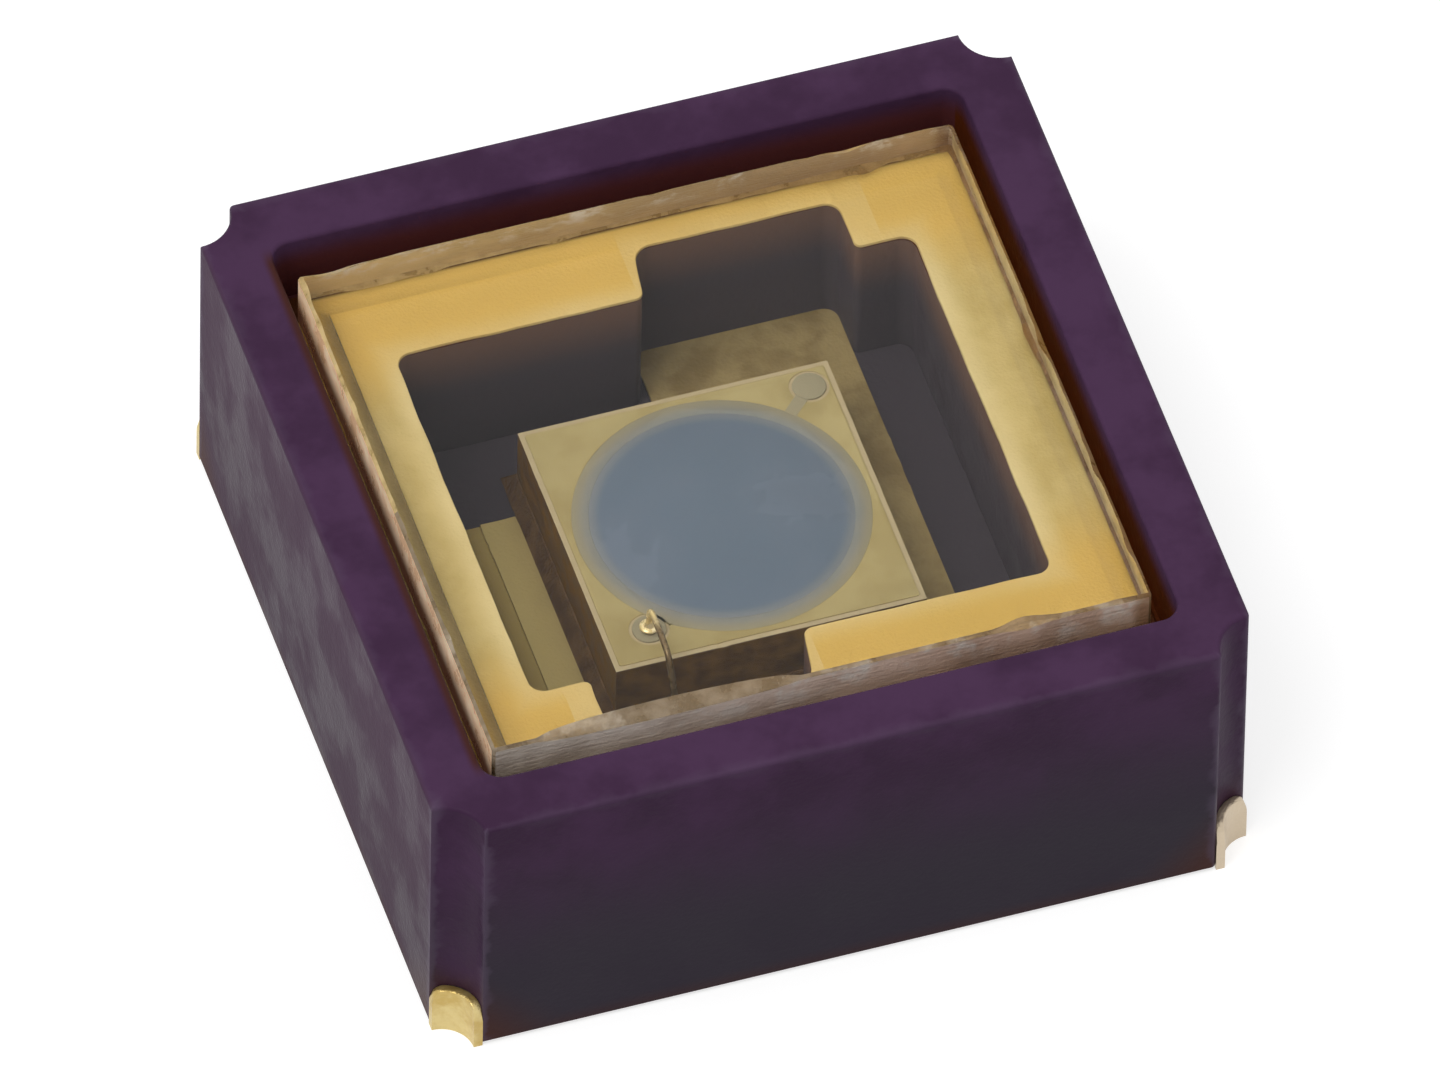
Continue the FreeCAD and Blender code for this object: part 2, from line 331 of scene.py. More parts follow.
@dataclass(frozen=True)
class Finish:
    """A blotched, grained surface. The more special finishes build on it. All its lengths are millimetres.

    Attributes:
        name: The material's name, to which the file adds "finish_", so that it differs from every slot's.
        dark: The darker of its two colours.
        light: The lighter of its two colours.
        rough: Roughness of the dark and of the light blotches.
        metallic: How far it is a metal.
        ior: Index of refraction.
        shine: Level of the mirror-like share, where 0.5 is that of the bare index.
        blotch: Blotches per millimetre.
        grain: Grains per millimetre.
        relief: Height of the grain.
    """

    name: str
    dark: Colour
    light: Colour
    rough: Pair = (0.4, 0.5)
    metallic: float = 0.0
    ior: float = 1.5
    shine: float = 0.15
    blotch: float = 3.0
    grain: float = 60.0
    relief: float = 0.002

    def material(self) -> bpy.types.Material:
        """Gives the material, and builds it when it is first asked for.

        Returns:
            The material.
        """
        title = "finish_" + self.name
        if title not in bpy.data.materials:
            made = bpy.data.materials.new(title)
            made.use_nodes = True
            at = Ground(made.node_tree, self.blotch)
            self.surface(at, at.place("BsdfPrincipled", self.inputs(at)))
        return bpy.data.materials[title]

    def inputs(self, at: Ground) -> dict[str, object]:
        """Gives what feeds the shader.

        Args:
            at: The ground it is laid on.

        Returns:
            The sources by the names of the shader's inputs.
        """
        return {
            "Base Color": self.colour(at),
            "Roughness": at.mask.ease(0.0, 1.0, *self.rough),
            "Metallic": self.metallic,
            "IOR": self.ior,
            "Specular IOR Level": self.shine,
            "Normal": at.place("Bump", {"Strength": 1.0, "Distance": self.relief * MM, "Height": self.height(at)}),
        }

    def colour(self, at: Ground) -> Socket:
        """The colour over the surface."""
        return at.blend(at.mask, self.dark, self.light)

    def height(self, at: Ground) -> Value:
        """The height of the surface's grain, from 0 to about 1."""
        return at.effect(GRAIN, {"Scale": self.grain, "Swell": self.grain / 8})

    def surface(self, at: Ground, shader: bpy.types.Node) -> None:
        """Joins the shader to the material's output."""
        at.place("OutputMaterial", {"Surface": shader})


@dataclass(frozen=True)
class FiredCeramic(Finish):
    """Dark alumina, fired in layers, with paler handled edges, painted highlights at the grooves' mouths, painted
    light and shade, and a greyer cavity.

    Attributes:
        edge: Colour of the rubbed edges, which at the grooves' mouths is a painted highlight as well.
        wear_and_highlight_share: How much of that colour they have.
        low_shade: Painted shade on the outer faces, darker towards the foot.
        low_shade_levels: Levels between which it fades out.
        left_side_light: Colour of the left side, a tint painted for the light that falls on that side.
        inside: Colour of the cavity's walls.
        lit: Colour of their upper edge, which the gold above shines on.
        lit_height: Height of that lit edge.
        bottom: Colour of the cavity's floor.
        wash: Colours of the thin gold wash on the floor left of the die pad, at the wall, where painted shade
            darkens it, and at the pad.
        washed: Where that wash meets the pad, and half its depth.
        wash_width: Width of the wash.
        gap: Painted shade on the foot of the walls round the window, brown as the gold looks in that dark gap.
        gap_back_shade: Painted shade on that foot behind the window.
        gap_shade_levels: Levels between which that painted shade fades out.
        brink_shade: Painted shade on the rim's inner edge on the left.
        foot_tint: A brown tint towards the foot, strongest beside the terminals.
        recess: Half the side of the recess for the window.
        cavity: Half the width and half the depth within which the cavity lies.
        shelf: Level of the shelf above the cavity.
        floor: Level of the cavity's floor.
        half_width: Half the body's width.
        skin: How far past a face the colour of that face reaches.
    """

    edge: Colour = tone(98, 84, 104)
    wear_and_highlight_share: float = 0.5
    low_shade: Colour = tone(57, 51, 61)
    low_shade_levels: Pair = (0.3, 1.2)
    left_side_light: Colour = tone(67, 42, 63)
    inside: Colour = tone(68, 60, 65)
    lit: Colour = tone(112, 84, 70)
    lit_height: float = 0.3
    bottom: Colour = tone(60, 53, 58)
    wash: tuple[Colour, Colour] = (tone(116, 92, 38), tone(172, 148, 84))
    washed: Pair = (-0.79, 0.465)
    wash_width: float = 0.13
    gap: Colour = tone(78, 35, 12)
    gap_back_shade: Colour = tone(80, 40, 42)
    gap_shade_levels: Pair = (1.1, 1.23)
    brink_shade: Colour = tone(66, 36, 32)
    foot_tint: Colour = tone(76, 48, 42)
    recess: float = 1.36
    cavity: Pair = (1.06, 1.14)
    shelf: float = 0.93
    floor: float = 0.32
    half_width: float = 1.6
    skin: float = 0.004

    def colour(self, at: Ground) -> Socket:
        """Blotched violet with painted shade towards the foot and painted light on the left side, grey in the
        cavity, with paler worn edges and painted highlights at the grooves' mouths.

        Args:
            at: The ground it is laid on.

        Returns:
            The colour.
        """
        side, end = self.half_width - abs(at.x), self.half_width - abs(at.y)
        # Painted shade: the outer faces turn darker towards the foot.
        low = (side & end).ease(0.0, 0.03, 1.0, 0.15) * at.z.ease(*self.low_shade_levels, 1.0, 0.0)
        body = at.blend(low, super().colour(at), self.low_shade)
        # Painted light: the left side takes its own tint for the light that falls on it.
        left = at.x.ease(-self.half_width, -self.half_width + 0.02, 0.8, 0.0) * at.mask.ease(0.0, 1.0, 0.75, 1.0)
        body = at.blend(left, body, self.left_side_light)
        body = self.add_recess(at, self.add_cavity(at, body))
        # A brown tint towards the foot, strongest beside the terminals.
        foot_tinted = (at.z + (side + end)).ease(0.16, 0.6, 0.95, 0.0) | at.z.ease(0.0, 0.1, 0.5, 0.0)
        body = at.blend(foot_tinted, body, self.foot_tint)
        # Paler worn edges, with a painted highlight on the grooves' mouths.
        return at.blend(at.effect(EDGE_WEAR_AND_HIGHLIGHT) * self.wear_and_highlight_share, body, self.edge)

    def add_cavity(self, at: Ground, body: Socket) -> Socket:
        """Colours the cavity: grey walls, lit at the top, and a floor with the wash beside the die pad, which
        painted shade darkens towards the wall.

        Args:
            at: The ground.
            body: The colour of the body.

        Returns:
            The body's colour with that of the cavity.
        """
        walls = at.blend(at.z.ease(self.shelf - self.lit_height, self.shelf), self.inside, self.lit)
        # The wash turns darker towards the wall: painted shade.
        gilt_with_shade = at.blend(at.x.ease(self.washed[0] - self.wash_width, self.washed[0]), *self.wash)
        ground = at.blend((at.x < self.washed[0]) * (abs(at.y) < self.washed[1]), self.bottom, gilt_with_shade)
        walls = at.blend(at.z < self.floor + self.skin, walls, ground)
        middle, reach = (self.shelf + self.floor) / 2, (self.shelf - self.floor) / 2 + self.skin / 4
        between = at.reckon("COMPARE", at.z, middle, reach)
        return at.blend((abs(at.x) < self.cavity[0]) * (abs(at.y) < self.cavity[1]) * between, body, walls)

    def add_recess(self, at: Ground, body: Socket) -> Socket:
        """Paints shade on the foot of the walls round the window, and on the rim's inner edge on the left.

        Args:
            at: The ground.
            body: The colour of the body.

        Returns:
            The body's colour with that of the recess.
        """
        walled = ((abs(at.x) | abs(at.y)) < self.recess + self.skin) * (at.z > self.shelf - self.skin)
        # Painted shade at the foot of the walls round the window, brown as the gold looks in that dark gap.
        foot = at.blend(at.y > self.recess - 0.03, self.gap, self.gap_back_shade)
        body = at.blend(walled * at.z.ease(*self.gap_shade_levels, 1.0, 0.0), body, foot)
        # Painted shade on the rim's inner edge on the left.
        inner = at.x.ease(-self.recess - 0.05, -self.recess - 0.015) * (at.x < -self.recess + self.skin)
        straight = (self.half_width - abs(at.y)).ease(0.24, 0.34)
        return at.blend(inner * straight * (at.z > self.gap_shade_levels[0]), body, self.brink_shade)

    def height(self, at: Ground) -> Value:
        """Fired grain with the faint lines of the tape layers."""
        fired = at.effect(GRAIN, {"Scale": self.grain, "Swell": 5.0, "Swell Share": 2.0})
        return at.effect(SAW_LINES, {"Along": 1.5, "Across": 14.0}) * 0.1 + fired


@dataclass(frozen=True)
class GoldPrint(Finish):
    """Screen-printed gold: redder on the end strips, khaki on the side strips, pale at the cavity, with painted
    shade outside the window.

    Attributes:
        thick: Colour of the thick, bright print.
        outer: Colour of its outermost band, on the end strips.
        outer_blend: Half the width over which that band begins.
        lip: Colour of the raised lip round the cavity's mouth.
        lip_width: Width of the lip.
        sides: Distances from the middle at which the side strips end and the end strips have their full colour.
        mouth: Half the width, half the depth and the notch wall's distance of the cavity's mouth.
        notch_width: Width of each notch of the cavity.
        shade: Painted shade outside the window's edge, in the gap by the wall.
        window: Half the window's width and half its depth.
    """

    thick: Colour = tone(203, 165, 82)
    outer: Colour = tone(218, 179, 94)
    outer_blend: float = 0.08
    lip: Colour = tone(214, 192, 137)
    lip_width: float = 0.11
    sides: Pair = (0.55, 0.95)
    mouth: tuple[float, float, float] = (1.02, 0.86, 1.10)
    notch_width: float = 0.8
    shade: Colour = tone(76, 40, 16)
    window: Pair = (1.29, 1.215)

    def colour(self, at: Ground) -> Socket:
        """Khaki gold that turns to bright gold on the end strips, with a pale lip and painted shade beyond the
        window's edge.

        Args:
            at: The ground it is laid on.

        Returns:
            The colour.
        """
        across, along = abs(at.x), abs(at.y)
        side, end, notch = self.mouth
        cloud = at.effect(MOTTLE, {"Scale": 2.2, "Low": 0.25, "High": 0.75})
        body = at.blend((along + cloud * 0.12).ease(*self.sides), super().colour(at), self.thick)
        body = at.blend(along.ease(notch - self.outer_blend, notch + self.outer_blend), body, self.outer)
        turned = at.x * at.reckon("SIGN", at.y)
        inside = (turned > -self.lip_width / 2) * (turned < self.notch_width + self.lip_width)
        away = (across - side) | (along - (inside * (notch - end) + end))
        share = along.ease(*self.sides, 0.95, 0.5) * cloud.ease(0.0, 1.0, 1.0, 0.55)
        body = at.blend(away.ease(0.0, self.lip_width, 1.0, 0.0) * share, body, self.lip)
        # Painted shade beyond the window's edge.
        beyond = (across - self.window[0]) | (along - self.window[1])
        return at.blend(beyond.ease(-0.015, 0.005), body, self.shade)


@dataclass(frozen=True, kw_only=True)
class SideLitGold(Finish):
    """Gold with painted light, which makes it paler towards one side of the part.

    Attributes:
        bright: Colour of that painted light on the paler part.
        side: Where along the width it is wholly pale and where not yet.
    """

    bright: Colour
    side: Pair = (-0.8, -0.5)

    def colour(self, at: Ground) -> Socket:
        """Blotched gold with painted light that makes it paler towards its side."""
        return at.blend(at.x.ease(*self.side, 1.0, 0.0), super().colour(at), self.bright)


@dataclass(frozen=True)
class ClearGlass(Finish):
    """Polished or sawn window glass, which lets lamp light through to what lies under it.

    Attributes:
        clarity: Share of the light that passes into the glass.
        glare: Tint of the mirror image, which its thin coating holds down.
        shade: Colour of the lamp light that it lets through.
        glow: Strength of a painted glow: the face gives out its own colour as light, standing in for light that
            travels inside the glass and comes out of a frosted face.
    """

    ior: float = 1.52
    shine: float = 0.1
    clarity: float = 1.0
    glare: Colour = (0.16, 0.16, 0.16, 1.0)
    shade: Colour = (0.96, 0.96, 0.95, 1.0)
    glow: float = 0.0

    def inputs(self, at: Ground) -> dict[str, object]:
        """Adds the clarity, the coating's tint and the painted glow.

        Args:
            at: The ground it is laid on.

        Returns:
            The sources by the names of the shader's inputs.
        """
        given = super().inputs(at)
        return given | {
            "Transmission Weight": self.clarity,
            "Specular Tint": self.glare,
            # Painted glow: the face gives out its own colour, though it is no lamp.
            "Emission Color": given["Base Color"],
            "Emission Strength": self.glow,
        }

    def surface(self, at: Ground, shader: bpy.types.Node) -> None:
        """Lets lamp rays pass the glass.

        Args:
            at: The ground it is laid on.
            shader: The glass.
        """
        rays = at.place("LightPath").outputs
        clear = at.place("BsdfTransparent", {"Color": self.shade})
        super().surface(at, at.place("MixShader", {0: rays["Is Shadow Ray"], 1: shader, 2: clear}))


@dataclass(frozen=True, kw_only=True)
class ShadedFrostedSide(ClearGlass):
    """A frosted side face with painted shade at its foot in the gap, which turns pale under its upper edge.

    Attributes:
        foot: Colour at the foot, painted shade.
        levels: Levels between which the face turns pale.
    """

    foot: Colour
    levels: Pair = (1.03, 1.17)

    def colour(self, at: Ground) -> Socket:
        """The foot's painted shade, which turns into the pale, blotched head."""
        return at.blend(at.z.ease(*self.levels), self.foot, super().colour(at))


@dataclass(frozen=True, kw_only=True)
class SawnGlass(ClearGlass):
    """The frosted face that the dicing blade left on the window, with painted light, shade and glints, and a
    painted reflection of the gold.

    Attributes:
        front: Colours of the front face at its left and right end, which paint in the light and shade along it.
        back: Colours of the back face at its left and right end: a painted reflection of the gold frame.
        right: Painted shade towards the window's right edge.
        lower: Tint of the lower part: painted shade.
        painted_glint: Colour of the painted glints near the upper edge.
        levels: Levels between which the shaded lower part turns into the upper one.
        half_width: Half the window's width.
    """

    front: tuple[Colour, Colour]
    back: tuple[Colour, Colour]
    right: Colour = (0.6, 0.5, 0.4, 1.0)
    lower: Colour = (0.78, 0.72, 0.62, 1.0)
    painted_glint: Colour = (1.0, 0.96, 0.9, 1.0)
    levels: Pair = (1.02, 1.2)
    half_width: float = 1.29

    def colour(self, at: Ground) -> Socket:
        """Painted light, shade and glints that run along each end face, with a painted reflection of the gold on
        the back, darkened in blotches.

        Args:
            at: The ground it is laid on.

        Returns:
            The colour.
        """
        along = at.x.ease(-self.half_width, self.half_width * 0.6)
        # Painted reflection of the gold on the back face, and painted light and shade along the front face.
        face = at.blend(at.y > 0.0, at.blend(along, *self.front), at.blend(along, *self.back))
        tinted = at.blend(1.0, face, super().colour(at), "MULTIPLY")
        # Painted shade on the lower part.
        tinted = at.blend(at.z.ease(*self.levels, 1.0, 0.0), tinted, self.lower, "MULTIPLY")
        # Painted glints near the upper edge.
        flecks = at.effect(MOTTLE, {"Scale": 7.0, "Low": 0.5, "High": 0.68})
        tinted = at.blend(flecks * at.z.ease(*self.levels, 0.0, 0.7), tinted, self.painted_glint)
        # Painted shade towards the right edge.
        return at.blend(at.x.ease(self.half_width - 0.09, self.half_width - 0.04), tinted, self.right, "MULTIPLY")

    def height(self, at: Ground) -> Value:
        """Level saw lines with a coarse frost."""
        lines = at.effect(SAW_LINES, {"Along": 6.0, "Across": 90.0})
        return lines + at.effect(GRAIN, {"Scale": self.grain, "Swell": 12.0})


@dataclass(frozen=True)
class SawnDie(Finish):
    """Semiconductor with diced sides and a pale street along the edge of its top.

    Attributes:
        street: Colour of the top.
        top: Level of the top.
    """

    street: Colour = tone(174, 156, 121)
    top: float = 0.632

    def colour(self, at: Ground) -> Socket:
        """Dark sides, blotched, and the pale street on top."""
        return at.blend(at.z.ease(self.top - 0.006, self.top - 0.001), super().colour(at), self.street)

    def height(self, at: Ground) -> Value:
        """Level lines of the dicing blade."""
        return at.effect(SAW_LINES, {"Along": 5.0, "Across": 120.0})


@dataclass(frozen=True)
class ClearFilm(Finish):
    """A band of adhesive that is mostly seen through, with a darker bead along its inner edge.

    Attributes:
        cover: How far the band covers what lies under it.
        bead_cover: How far its bead does on the left.
        bead_right: What share of that it does on the right.
        bead_span: Where the bead begins to fade towards the right and where it has faded.
        bead_width: Width of the bead.
        inner: Half the width and half the depth of the band's inner edge.
    """

    cover: float = 0.02
    bead_cover: float = 0.62
    bead_right: float = 0.12
    bead_span: Pair = (-1.25, 0.2)
    bead_width: float = 0.06
    inner: Pair = (1.195, 1.12)

    def inputs(self, at: Ground) -> dict[str, object]:
        """Adds how far the film covers what lies under it.

        Args:
            at: The ground it is laid on.

        Returns:
            The sources by the names of the shader's inputs.
        """
        side, end = abs(at.x) - self.inner[0], abs(at.y) - self.inner[1]
        bead = at.x.ease(*self.bead_span, self.bead_cover, self.bead_cover * self.bead_right)
        bead = bead * (end - side).ease(-0.04, 0.0, 1.0, 0.25)
        return super().inputs(at) | {"Alpha": (side | end).ease(0.0, self.bead_width, bead, self.cover)}


@dataclass(frozen=True, kw_only=True)
class RoundTint(Finish):
    """A surface whose tint changes with the distance from the chip's middle.

    Attributes:
        outer: Colour at the outer radius.
        radii: Radii at which the change begins and at which it is complete.
    """

    outer: Colour
    radii: Pair

    def colour(self, at: Ground) -> Socket:
        """The blotched middle that turns to the outer colour."""
        radius = at.reckon("SQRT", at.x * at.x + at.y * at.y)
        return at.blend(radius.ease(*self.radii), super().colour(at), self.outer)


CERAMIC = FiredCeramic(
    "violet_ceramic", tone(60, 38, 62), tone(72, 48, 75), rough=(0.38, 0.52), shine=0.04, blotch=2.6, grain=45.0,
)
SHELF_GOLD = GoldPrint(
    "shelf_gold", tone(184, 160, 96), tone(198, 174, 112), rough=(0.42, 0.55), metallic=0.2, blotch=5.0,
    grain=70.0, relief=0.003,
)
# Painted light: paler towards the left of the floor pads.
FLOOR_GOLD = SideLitGold(
    "floor_gold", tone(134, 112, 68), tone(160, 138, 90), rough=(0.4, 0.55), metallic=0.2, blotch=6.0,
    grain=70.0, relief=0.003, bright=tone(192, 170, 107),
)
# Painted light: paler towards the right-hand terminals.
PLATED_GOLD = SideLitGold(
    "plated_gold", tone(196, 168, 98), tone(218, 198, 138), rough=(0.28, 0.42), metallic=0.7, shine=0.5,
    blotch=9.0, grain=50.0, relief=0.004, bright=tone(206, 189, 164), side=(1.4, 0.4),
)
# Pale colours paint a highlight on the ball and wire; the darker outer colour is painted shade where the wire
# falls past the chip.
WIRE_GOLD_LIGHT_AND_SHADE = RoundTint(
    "drawn_gold_light_and_shade", tone(236, 208, 140), tone(250, 232, 184), rough=(0.2, 0.35), metallic=0.5, shine=0.5,
    blotch=20.0, grain=160.0, relief=0.0006, outer=tone(116, 94, 60), radii=(0.64, 0.73),
)
FILM_GOLD = Finish(
    "back_gold", tone(180, 150, 86), tone(204, 176, 108), metallic=0.9, blotch=8.0, relief=0.001,
)
BURIED_METAL = Finish(
    "fired_tungsten", tone(84, 82, 84), tone(118, 114, 112), rough=(0.5, 0.65), metallic=0.9, blotch=9.0,
)
WINDOW_GLASS = ClearGlass(
    "polished_glass", (0.96, 0.97, 0.96, 1.0), (0.98, 0.985, 0.98, 1.0), rough=(0.0, 0.02), blotch=1.5,
    grain=3.0, relief=0.00001,
)
# Painted shade at the foot, and a painted glow in the pale head of the left side.
LEFT_SIDE_GLASS = ShadedFrostedSide(
    "left_side_glass", tone(226, 184, 146), tone(250, 222, 190), rough=(0.25, 0.4), blotch=7.0, grain=12.0,
    relief=0.0003, clarity=0.25, glow=0.34, foot=tone(84, 52, 38),
)
# Brown painted shade on the right side, as the gold looks in that dark gap.
RIGHT_SIDE_SHADED_GLASS = ClearGlass(
    "right_side_shaded_glass", (0.46, 0.34, 0.15, 1.0), (0.62, 0.47, 0.22, 1.0), rough=(0.1, 0.25), blotch=6.0,
    grain=12.0, relief=0.0006, clarity=0.35,
)
# Painted light, shade and glints on the diced faces, with a painted reflection of the gold on the back.
SAWN_GLASS = SawnGlass(
    "sawn_glass", (0.72, 0.69, 0.66, 1.0), WHITE, rough=(0.3, 0.5), relief=0.003, clarity=0.12,
    front=(tone(255, 246, 236), tone(242, 208, 188)), back=(tone(250, 218, 154), tone(204, 170, 128)),
)
BROKEN_GLASS = SawnGlass(
    "broken_glass", (0.62, 0.58, 0.5, 1.0), WHITE, rough=(0.25, 0.5), blotch=9.0, grain=40.0, relief=0.005,
    clarity=0.2, front=(tone(158, 142, 122), tone(170, 144, 112)), back=(tone(226, 200, 146), tone(196, 164, 112)),
    painted_glint=tone(196, 182, 164),
)
CLEAR_ADHESIVE = ClearFilm("clear_adhesive", tone(92, 74, 38), tone(120, 100, 58), rough=(0.25, 0.4), blotch=6.0)
SILVER_EPOXY = Finish(
    "silver_epoxy", tone(76, 50, 24), tone(106, 78, 46), rough=(0.4, 0.6), metallic=0.1, blotch=16.0,
    grain=80.0, relief=0.006,
)
SEMICONDUCTOR = SawnDie(
    "diced_semiconductor", tone(92, 62, 20), tone(126, 90, 34), rough=(0.3, 0.45), shine=0.05, blotch=10.0,
)
FIELD_FILM = Finish(
    "field_film", tone(158, 140, 91), tone(170, 153, 104), rough=(0.35, 0.45), blotch=4.0, grain=120.0,
    relief=0.0006,
)
CONTACT_FILM = RoundTint(
    "contact_film", tone(126, 126, 120), tone(132, 130, 122), rough=(0.3, 0.42), blotch=12.0, grain=120.0,
    relief=0.0008, outer=tone(146, 136, 108), radii=(0.5, 0.57),
)
ACTIVE_COATING = RoundTint(
    "active_coating", tone(95, 107, 120), tone(102, 112, 125), rough=(0.2, 0.3), blotch=2.0, grain=90.0,
    relief=0.0004, outer=tone(120, 123, 124), radii=(0.45, 0.5),
)


def round_edges(shape: Shape, edges: Sequence[Edge], radius: float, segments: int) -> None:
    """Rounds edges by a radius.

    Args:
        shape: The mesh.
        edges: The edges.
        radius: The radius.
        segments: Faces across each rounding.
    """
    bmesh.ops.bevel(
        shape, geom=list(edges), offset=radius, affect="EDGES", segments=segments, profile=0.5, material=-1,
        clamp_overlap=True,
    )


def raise_prism(shape: Shape, face: Face, levels: Pair) -> list[Vert]:
    """Extrudes a level face upwards into a closed prism.

    Args:
        shape: The mesh.
        face: The face at the foot.
        levels: The bottom and the top.

    Returns:
        The vertices at the top.
    """
    made = bmesh.ops.extrude_face_region(shape, geom=[face])["geom"]
    tops = [item for item in made if isinstance(item, Vert)]
    bmesh.ops.translate(shape, vec=(0, 0, levels[1] - levels[0]), verts=tops)
    return tops


def rounded_prism(
    shape: Shape,
    outline: Sequence[Pair],
    levels: Pair,
    roundings: Sequence[tuple[float, Callable[[Vector], bool]]],
    segments: int = 8,
) -> None:
    """Adds an upright prism and rounds its upright edges.

    Args:
        shape: The mesh.
        outline: The plan outline with sharp corners.
        levels: The bottom and the top.
        roundings: Pairs of a radius and a test on an edge's top point, which are taken in order.
        segments: Faces across each rounding.
    """
    foot = shape.faces.new([shape.verts.new((x, y, levels[0])) for x, y in outline])
    tops = raise_prism(shape, foot, levels)
    for radius, chosen in roundings:
        uprights = [
            edge for top in tops if top.is_valid and chosen(top.co) for edge in top.link_edges
            if abs(edge.other_vert(top).co.z - top.co.z) > TINY
        ]
        round_edges(shape, uprights, radius, segments)


def round_post(shape: Shape, centre: Pair, radius: float, levels: Pair, segments: int) -> None:
    """Adds an upright round post.

    Args:
        shape: The mesh.
        centre: Its centre in the plan.
        radius: Its radius.
        levels: The bottom and the top.
        segments: Faces round it.
    """
    place = Matrix.Translation((*centre, levels[0]))
    ring = bmesh.ops.create_circle(shape, cap_ends=True, segments=segments, radius=radius, matrix=place)["verts"]
    raise_prism(shape, ring[0].link_faces[0], levels)


def move(shape: Shape, verts: Sequence[Vert], scale: Sequence[float], shift: Sequence[float]) -> None:
    """Scales vertices about the origin and then shifts them."""
    bmesh.ops.scale(shape, vec=scale, verts=verts)
    bmesh.ops.translate(shape, vec=shift, verts=verts)


def anywhere(point: Vector) -> bool:
    """Accepts every edge."""
    return True


def rectangle(width: float, depth: float) -> list[Pair]:
    """Gives the corners of a rectangle round the origin."""
    x, y = width / 2, depth / 2
    return [(-x, -y), (x, -y), (x, y), (-x, y)]


def all_at(item: Face | Edge, level: float) -> bool:
    """True if a face or edge lies at one level."""
    return all(abs(vert.co.z - level) < TINY for vert in item.verts)


def open_level(shape: Shape, level: float) -> None:
    """Takes out the faces that lie at a level and leaves their edges."""
    bmesh.ops.delete(shape, geom=[face for face in shape.faces if all_at(face, level)], context="FACES_ONLY")


def close_level(shape: Shape, level: float) -> None:
    """Fills the area between the open loops at a level.

    Args:
        shape: The mesh.
        level: The height of the loops.
    """
    loops = [edge for edge in shape.edges if edge.is_boundary and all_at(edge, level)]
    filled = bmesh.ops.triangle_fill(shape, use_beauty=True, use_dissolve=False, edges=loops)["geom"]
    faces = {item for item in filled if isinstance(item, Face)}
    seams = [edge for edge in shape.edges if edge.link_faces and faces.issuperset(edge.link_faces)]
    bmesh.ops.dissolve_limit(shape, angle_limit=0.01, use_dissolve_boundaries=False, verts=[], edges=seams)


def is_sharp(edge: Edge) -> bool:
    """True if two faces meet at a sharp angle in an edge."""
    return len(edge.link_faces) == 2 and edge.calc_face_angle() > SHARP


def sharp_edges(shape: Shape, level: float) -> list[Edge]:
    """Gives the sharp edges at a level."""
    return [edge for edge in shape.edges if all_at(edge, level) and is_sharp(edge)]


def face_outwards(shape: Shape) -> None:
    """Merges doubles and points every face of a closed mesh outwards."""
    bmesh.ops.remove_doubles(shape, verts=shape.verts, dist=TINY * 10)
    bmesh.ops.recalc_face_normals(shape, faces=shape.faces)


def keep_mesh(name: str, shape: Shape) -> bpy.types.Mesh:
    """Keeps a shape as a mesh of the file.

    Args:
        name: The mesh's name.
        shape: The shape, which is used up.

    Returns:
        The mesh.
    """
    mesh = bpy.data.meshes.new(name)
    shape.to_mesh(mesh)
    shape.free()
    return mesh


class SubAssembly:
    """What each sub-assembly does with its finished meshes. All lengths of the builders are millimetres."""

    smooth_angle: float = math.radians(38)

    def settle(
        self, name: str, shape: Shape, finishes: Sequence[Finish], slot: str, nodes: Sequence[str]
    ) -> bpy.types.Object:
        """Turns a mesh in millimetres into a piece that rides on the frame.

        Args:
            name: The piece's name.
            shape: The mesh, which is used up.
            finishes: Its finishes, by material index.
            slot: The record's material slot; not used.
            nodes: The CAD nodes it stands for.

        Returns:
            The piece.
        """
        bmesh.ops.scale(shape, vec=(MM, MM, MM), verts=shape.verts)
        mesh = keep_mesh(name, shape)
        for finish in finishes:
            mesh.materials.append(finish.material())
        mesh.shade_smooth()
        mesh.set_sharp_from_angle(angle=self.smooth_angle)
        piece = bpy.data.objects.new(name, mesh)
        bpy.context.scene.collection.objects.link(piece)
        piece.modifiers.new("even_shading", "WEIGHTED_NORMAL").keep_sharp = True
        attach(piece, BODY)
        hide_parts(*nodes)
        LOG.info("%s: %d faces, stands for %s", name, len(mesh.polygons), ", ".join(nodes))
        return piece

    def dress(self, node: str, finish: Finish, slot: str) -> None:
        """Gives a CAD node its finish.

        Args:
            node: The node's name.
            finish: Its finish.
            slot: The record's material slot; not used.
        """
        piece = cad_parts[node]
        piece.data.materials.clear()
        piece.data.materials.append(finish.material())
        LOG.info("%s: dressed with %s", node, finish.name)


